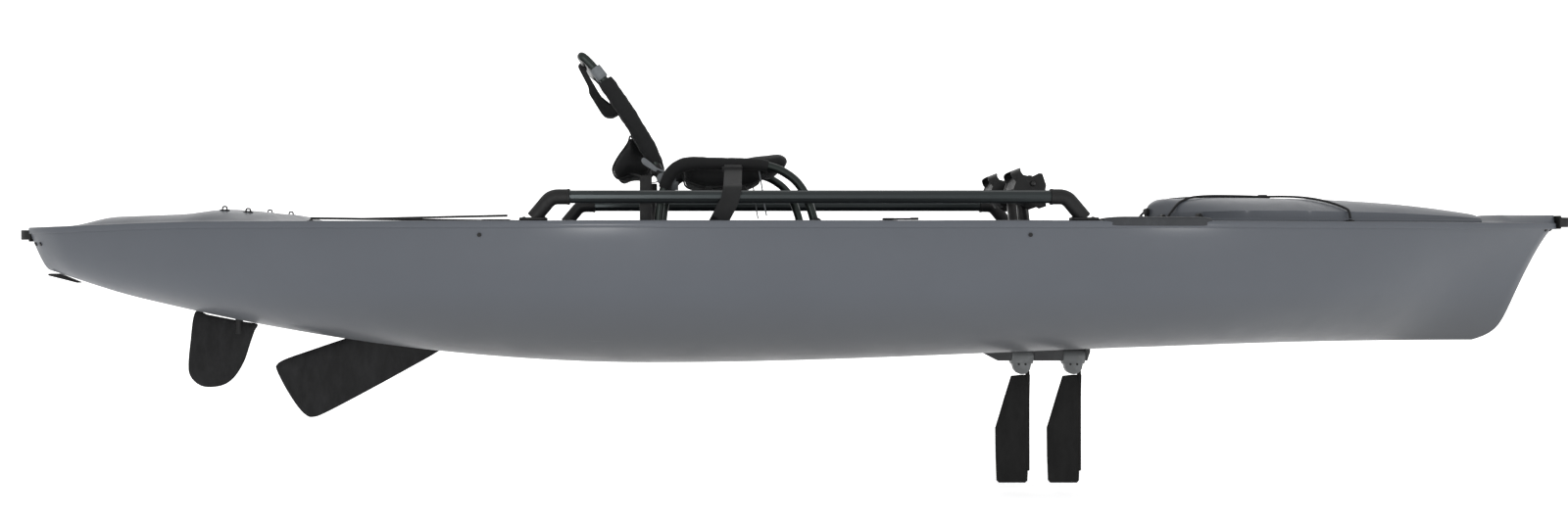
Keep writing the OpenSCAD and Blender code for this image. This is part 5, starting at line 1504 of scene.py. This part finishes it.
@dataclass
class Backrest:
    """The reclining backrest: bent tube, mesh, sleeves, lumbar roll and head strap."""

    pivot: tuple[float, float] = (-0.352, 0.478)
    lean_deg: float = 32.0
    tube_r: float = 11 * MM
    side_y: float = 0.205
    line: tuple[tuple[float, float], ...] = ((0, 12), (10, 76), (13, 190), (8, 296.4), (-3, 361), (-11, 380))
    lumbar: tuple[tuple[float, float], ...] = (
        (-10, 150), (-24, 133), (-70, 115), (-98, 98), (-103, 77), (-97, 62), (-70, 60), (-38, 36), (-12, 40),
    )
    strap: tuple[tuple[float, float], ...] = (
        (-16, 392), (-33, 388), (-38, 322), (-46, 309), (-46, 238), (-31, 223), (-6, 221), (-6, 244), (-20, 258),
        (-22, 304), (-20, 366),
    )

    link: tuple[tuple[float, float], ...] = (
        (-21, 68), (-12, 70), (-4, 52), (2, 30), (-6, 24), (-14, 40), (-22, 56),
    )

    def plane(self, points: Array) -> Array:
        """Millimetres forward of the backrest and up it, turned by its lean into metres along X and Z."""
        c, s = math.cos(math.radians(self.lean_deg)), math.sin(math.radians(self.lean_deg))
        n, a = np.asarray(points, float)[..., 0] * MM, np.asarray(points, float)[..., 1] * MM
        return np.stack([self.pivot[0] + n * c - a * s, self.pivot[1] + n * s + a * c], -1)

    def spot(self, n: float, y: float, a: float) -> tuple[float, float, float]:
        """One point given as millimetres forward and up the backrest, and metres across."""
        x, z = self.plane(np.array([n, a]))
        return float(x), y, float(z)

    def tube_path(self) -> Array:
        """Up one side, across the top and down the other."""
        up = [self.spot(n, -self.side_y, a) for n, a in self.line]
        down = [self.spot(n, self.side_y, a) for n, a in reversed(self.line)]
        return eased([*up, *down], 60 * MM, 12)

    def forward(self, a: Array) -> Array:
        """How far forward the tube's centre line lies at a height."""
        return np.interp(a, [p[1] for p in self.line], [p[0] for p in self.line])

    def hollow(self, a: Array, v: Array) -> Array:
        """The mesh at a height a and a share v of the way across: it dips between the tubes, less at its ends."""
        dip = 17 * (1 - v**2) * (1 - ((a - 183) / 125) ** 4)
        flat = self.plane(np.stack([self.forward(a) - dip + 7, a], -1))
        return points_of(flat[..., 0], v * (self.side_y - 4 * MM), flat[..., 1])

    def between(self, low: float, high: float, side: int, count: int) -> Array:
        """Points on one side's tube between two heights."""
        a = np.linspace(low, high, count)
        flat = self.plane(np.column_stack([self.forward(a), a]))
        return points_of(flat[:, 0], np.array(side * self.side_y), flat[:, 1])

    def build_frame(self, shop: Workshop) -> None:
        """Builds the bent tube, hinge eyes and collars."""
        tube = swept(self.tube_path(), circle(self.tube_r, 24), (0.3, 0.2, 0.1))
        shop.piece("backrest_tube", [tube], shop.look.tube, "backrest", ["backrest_frame"])
        eyes, collars = [], []
        for side, _ in SIDES:
            x, z = self.pivot
            eyes.append(rod((x, side * 0.194, z), (x, side * 0.216, z), 15 * MM, 2 * MM))
            eyes.append(rod(self.spot(-1, side * 0.205, 2), self.spot(3, side * 0.205, 40), 13 * MM, 2 * MM))
            start, end = self.spot(
                4.8 + 1.8, side * self.side_y, 315.4 - 17
            ), self.spot(4.8 - 1.8, side * self.side_y, 315.4 + 17)
            collars.append(rod(start, end, 15.5 * MM, 2 * MM))
        shop.piece("backrest_eyes", eyes, shop.look.black, "backrest", ["backrest_frame"])
        shop.piece("backrest_collar_rings", collars, shop.look.collar, "backrest", ["backrest_collars"])

    def build_mesh(self, shop: Workshop) -> None:
        """Builds the mesh panel, hollowed between the tubes, and the sleeves that hold it to them."""
        a, v = np.meshgrid(np.linspace(82, 284, 44), np.linspace(-1, 1, 40), indexing="ij")
        rows = self.hollow(a, v)
        panel = walled("backrest_panel", (rows, plain_uv(rows)), 2.5 * MM, 0.0, (1, 0, 0.5))
        panel.data.shade_smooth()
        shop.dress(panel, shop.look.mesh, "backrest", ["backrest_mesh"])
        for side, word in SIDES:
            line = self.between(38, 292, side, 90)
            share = np.linspace(0, 1, 90)
            fat = 1 + 0.03 * np.sin(share * 53) * np.sin(share * 19) + 0.06 * np.exp(-(((share - 0.24) / 0.1) ** 2))
            fat *= 1 - 0.38 * np.exp(-share / 0.07)
            fat *= 1 - 0.14 * np.exp(-share / 0.012) - 0.14 * np.exp(-(1 - share) / 0.012)
            profile = circle(1.0, 26) * (21 * MM, 14 * MM)
            shop.piece(f"backrest_sleeve_{word}", [swept(line, profile, (0, 1, 0), fat)], shop.look.cloth, "backrest")
        hems = []
        for height in (84, 282):
            line = self.hollow(np.full(40, height), np.linspace(-1, 1, 40))
            hems.append(swept(line, band(5 * MM, 20 * MM), (0.5, 0, -0.85)))
        shop.piece("backrest_hems", hems, shop.look.webbing, "backrest", ["backrest_mesh"])

    def build_soft_parts(self, shop: Workshop) -> None:
        """Builds the lumbar roll with its piping and straps, and the head strap."""
        outline = self.plane(rounded_polygon(self.lumbar, 14))
        roll = pillow(outline, 0.147, 40, 0.0, 9.0)
        shop.stuffed("lumbar_roll", roll, 5 * MM, "backrest", "lumbar_pad")
        trim = []
        for side, _ in SIDES:
            trim.append(piping(outline, side * 0.118))
            tie = spline(
                [
                    self.spot(-60, side * 0.120, 60), self.spot(-40, side * 0.175, 34),
                    self.spot(-14, side * 0.200, 22), self.spot(8, side * 0.2, 26)
                ],
                30
            )
            trim.append(swept(tie, band(18 * MM, 2.2 * MM), (0, 0, 1)))
        shop.piece("lumbar_piping", trim, shop.look.webbing, "backrest")
        loop = rounded_polygon(self.strap, 9)
        rows = plate(self.plane(loop), -0.030, 0.030, 2 * MM)
        shop.piece("head_strap", [capped(rows)], shop.look.webbing, "backrest", ["backrest_strap"], 50)
        brackets = []
        for side, _ in SIDES:
            y = side * 0.2265
            arm = self.plane(closed_spline(self.link, 50))
            brackets.append(capped(plate(arm, y - 3 * MM, y + 3 * MM, 1 * MM)))
            brackets.append(rod(self.spot(-8, y, 42), (-0.330, y, 0.487), 2.6 * MM, 0.6 * MM, 14))
        shop.piece("recline_links", brackets, shop.look.collar, "backrest")

    def build(self, shop: Workshop) -> None:
        """Builds the whole backrest."""
        self.build_frame(shop)
        self.build_mesh(shop)
        self.build_soft_parts(shop)


# ---- Drive, rudder and skeg -----------------------------------------------------------------------


@dataclass
class Drive:
    """The pedal drive: spine, drums, cranks, pedals and fins."""

    drums: tuple[tuple[str, float], ...] = (("drum_front", 0.7495), ("drum_rear", 0.6105))
    fin_top: float = -0.041
    fin_len: float = 0.292
    fin_chord: float = 0.091
    fin_thick: float = 0.013
    mast_dx: float = 17 * MM

    def fin_outline(self, x: float) -> Array:
        """The fin's straight leading edge, square tip and trailing edge that narrows to the top."""
        lead, c, l = x + 0.024, self.fin_chord, self.fin_len
        points = [
            (0.0, 0.0), (-2 * MM, -0.35 * l), (-4 * MM, -0.7 * l), (-7 * MM, -l + 6 * MM), (-13 * MM, -l),
            (-0.5 * c, -l), (-0.93 * c, -l), (-c, -l + 7 * MM),
            (-1.03 * c, -0.75 * l), (-1.04 * c, -0.49 * l), (-0.97 * c, -0.42 * l), (-0.76 * c, -0.2 * l),
            (-0.57 * c, -0.01 * l), (-0.28 * c, 0.0),
        ]
        return np.array([(lead + dx, self.fin_top + dz) for dx, dz in points])

    def build_fins(self, shop: Workshop) -> None:
        """Builds each fin's soft blade round its steel mast, with a socket at the top."""
        for drum, x in self.drums:
            name = drum.replace("drum", "fin")
            p = self.fin_outline(x)
            share = np.linspace(0, 1, 6)[:-1, None]
            fine = np.vstack([a + (b - a) * share for a, b in zip(p, np.roll(p, -1, axis=0))])
            grids = [blade(np.vstack([fine, fine[:1]]), self.fin_thick / 2, 5.0)]
            grids.append(rod((x + self.mast_dx, 0, -0.300), (x + self.mast_dx, 0, -0.030), 5.6 * MM, 2 * MM))
            shop.piece(f"{name}_sail", grids, shop.look.fin, name, [name], 60)
            mast = rod((x + self.mast_dx, 0, -0.081), (x + self.mast_dx, 0, -0.0182), 3.5 * MM)
            shop.piece(f"{name}_mast", [mast], shop.look.steel, name)

    def build_drums(self, shop: Workshop) -> None:
        """Finishes each drum and adds its dark screw heads."""
        for drum, x in self.drums:
            shop.ease_edges(drum, shop.look.drum, drum, 1.5 * MM)
            grids = []
            for side, _ in SIDES:
                for at in (x - 9 * MM, x + 9 * MM):
                    start, end = (at, side * 11 * MM, -0.012), (at, side * 12.9 * MM, -0.012)
                    grids.append(rod(start, end, 3.2 * MM, 0.6 * MM, 16))
            shop.piece(f"{drum}_screws", grids, shop.look.black, drum)

    def build(self, shop: Workshop) -> None:
        """Builds the whole drive."""
        shop.ease_edges("drive_spine", shop.look.housing, "boat", 2 * MM)
        self.build_drums(shop)
        self.build_fins(shop)
        for _, word in SIDES:
            shop.ease_edges(f"crank_arm_{word}", shop.look.glossy, f"crank_{word}", 2 * MM)
            shop.ease_edges(f"pedal_{word}", shop.look.black, f"pedal_{word}", 1.2 * MM)


@dataclass
class SternBlades:
    """The rudder and the folding skeg."""

    form: HullForm = field(default_factory=HullForm)
    rudder_fore: float = -1.451
    rudder_chord: float = 0.165
    rudder_depth: float = 0.170
    skeg_pivot: tuple[float, float] = (-0.930, 0.078)
    skeg_angle: float = 21.0
    skeg_len: float = 0.476
    skeg_chord: float = 0.166

    def rudder_outline(self) -> Array:
        """A spade with a swept leading edge and a round heel, its top running along the keel."""
        top = float(self.form.keel(self.rudder_fore)) - 8.5 * MM
        back = (float(self.form.keel(self.rudder_fore - self.rudder_chord)) - 9.5 * MM - top) / self.rudder_depth
        points = [
            (0, 0), (-0.05, -0.12), (-0.12, -0.32), (-0.21, -0.58), (-0.34, -0.8), (-0.48, -0.93), (-0.64, -0.99),
            (-0.84, -1), (-0.98, -0.95),
            (-1.09, -0.84), (-1.13, -0.68), (-1.1, -0.3), (-1.02, back * 1.02), (-0.8, back * 0.8), (-0.5, back * 0.5),
            (-0.2, back * 0.2),
        ]
        return np.array([(self.rudder_fore + x * self.rudder_chord, top + z * self.rudder_depth) for x, z in points])

    def skeg_outline(self) -> Array:
        """A long blade with a curved back and a rounded square tip, turned down about its pivot."""
        l, c = self.skeg_len, self.skeg_chord
        points = [
            (16 * MM, 0), (14 * MM, 15 * MM), (-0.024, 0.040), (-0.2 * l, 0.42 * c), (-0.55 * l, 0.49 * c),
            (-0.8 * l, 0.52 * c), (-0.93 * l, 0.53 * c),
            (-0.985 * l, 0.5 * c), (-l, 0.42 * c), (-0.99 * l, 0.1 * c), (-0.965 * l, -0.25 * c),
            (-0.935 * l, -0.45 * c), (-0.9 * l, -0.515 * c),
            (-0.83 * l, -0.52 * c), (-0.6 * l, -0.445 * c), (-0.3 * l, -0.33 * c), (-0.1 * l, -0.24 * c),
            (0, -0.13 * c),
        ]
        c1, s1 = math.cos(math.radians(self.skeg_angle)), math.sin(math.radians(self.skeg_angle))
        x, z = np.array(points).T
        return np.column_stack([self.skeg_pivot[0] + x * c1 - z * s1, self.skeg_pivot[1] + x * s1 + z * c1])

    def build(self, shop: Workshop) -> None:
        """Builds both blades and keeps the rudder's post."""
        rudder = closed_spline(self.rudder_outline(), 121)
        shop.piece("rudder_spade", [blade(rudder, 6.5 * MM, 3.2)], shop.look.blade, "rudder", ["rudder_blade"], 60)
        shop.keep(shop.look.black, "rudder_post")
        skeg = closed_spline(self.skeg_outline(), 161)
        x, z = self.skeg_pivot
        grids = [blade(skeg, 8 * MM, 3.6), rod((x, -8 * MM, z), (x, 8 * MM, z), 18.5 * MM, 1.5 * MM)]
        shop.piece("skeg_spade", grids, shop.look.blade, "skeg", ["skeg_blade"], 60)


# ---- Stage ----------------------------------------------------------------------------------------


@dataclass(frozen=True)
class Studio:
    """A pale sweep, soft white light all round, and the camera."""

    floor_z: float = -0.352
    near: float = -30.0
    far: float = 24.0
    half_width: float = 34.0
    rise: float = 12.0

    def build_backdrop(self) -> None:
        """A floor that curves up into a wall along an ellipse."""
        turn = np.linspace(0, math.pi / 2, 30)
        ys = np.concatenate([[self.near], self.far - 3 + 3 * np.sin(turn), [self.far]])
        zs = np.concatenate([[0.0], 3 * (1 - np.cos(turn)), [self.rise]]) + self.floor_z
        xs = np.linspace(-self.half_width, self.half_width, 2)
        rows = np.stack([np.stack([np.full_like(ys, x), ys, zs], -1) for x in xs])
        obj = new_object("backdrop", mesh_of("backdrop", [(rows, plain_uv(rows))], facing=(0, 0, 1)))
        recipe = Recipe("backdrop_white", (0.9, 0.9, 0.9), 0.9)
        cloud = recipe.noise(recipe.place(), 0.6, 2.0)
        recipe.paint(recipe.tint(cloud, (0.88, 0.88, 0.88), (0.92, 0.92, 0.92)))
        recipe.shader.inputs["Emission Color"].default_value = (1, 1, 1, 1)
        recipe.shader.inputs["Emission Strength"].default_value = 0.55
        obj.data.materials.append(recipe.material)
        obj.data.shade_smooth()

    def lamp(
        self, name: str, at: Sequence[float], to: Sequence[float], size: tuple[float, float], power: float
    ) -> None:
        """A rectangular soft light at one point, aimed at another."""
        light = bpy.data.lights.new(name, "AREA")
        light.shape, light.size, light.size_y, light.energy = "RECTANGLE", *size, power
        obj = bpy.data.objects.new(name, light)
        a, b = np.asarray(at, float), np.asarray(to, float)
        obj.location = a
        obj.rotation_euler = Vector(b - a).to_track_quat("-Z", "Y").to_euler()
        bpy.context.scene.collection.objects.link(obj)

    def build_lights(self) -> None:
        """An even white surround, a broad light on each side, and two strips that shine back from the topsides."""
        world = bpy.data.worlds.new("surround")
        world.use_nodes = True
        world.node_tree.nodes["Background"].inputs["Color"].default_value = (1, 1, 1, 1)
        world.node_tree.nodes["Background"].inputs["Strength"].default_value = 1.0
        bpy.context.scene.world = world
        self.lamp("key", (-0.9, -3.4, 2.2), (-0.3, 0, 0.3), (4.5, 1.4), 8)
        self.lamp("glint_aft", (-1.22, -4.6, 0.40), (-0.70, -0.48, 0.33), (0.45, 0.14), 34)
        self.lamp("glint_fore", (4.2, -4.6, 0.42), (0.9, -0.43, 0.33), (0.7, 0.12), 40)
        self.lamp("rear", (0.0, 3.4, 3.2), (0, 0, 0.4), (5.0, 1.2), 5)

    def build_camera(self) -> None:
        """A level camera off the starboard side, a little aft of the middle."""
        data = bpy.data.cameras.new("camera")
        data.sensor_width, data.lens = 36.0, 32.15
        data.shift_x, data.shift_y = 0.0556, -0.0116
        data.clip_start, data.clip_end = 0.05, 100
        camera = bpy.data.objects.new("camera", data)
        camera.location, camera.rotation_euler = (-0.265, -3.78, 0.315), (math.radians(90), 0, 0)
        bpy.context.scene.collection.objects.link(camera)
        bpy.context.scene.camera = camera

    def build(self) -> None:
        """Builds the whole stage."""
        self.build_camera()
        self.build_backdrop()
        self.build_lights()
        bpy.context.scene.view_settings.view_transform = "Standard"


def main() -> None:
    """Builds the boat piece by piece around its frame."""
    logging.basicConfig(level=logging.INFO, format="%(message)s")
    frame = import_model()
    Studio().build()
    shop = Workshop(frame)
    for assembly in (HatchLid(), DeckFittings(), Hull(), Seat(), Backrest(), Drive(), SternBlades()):
        assembly.build(shop)


if __name__ == "__main__":
    main()
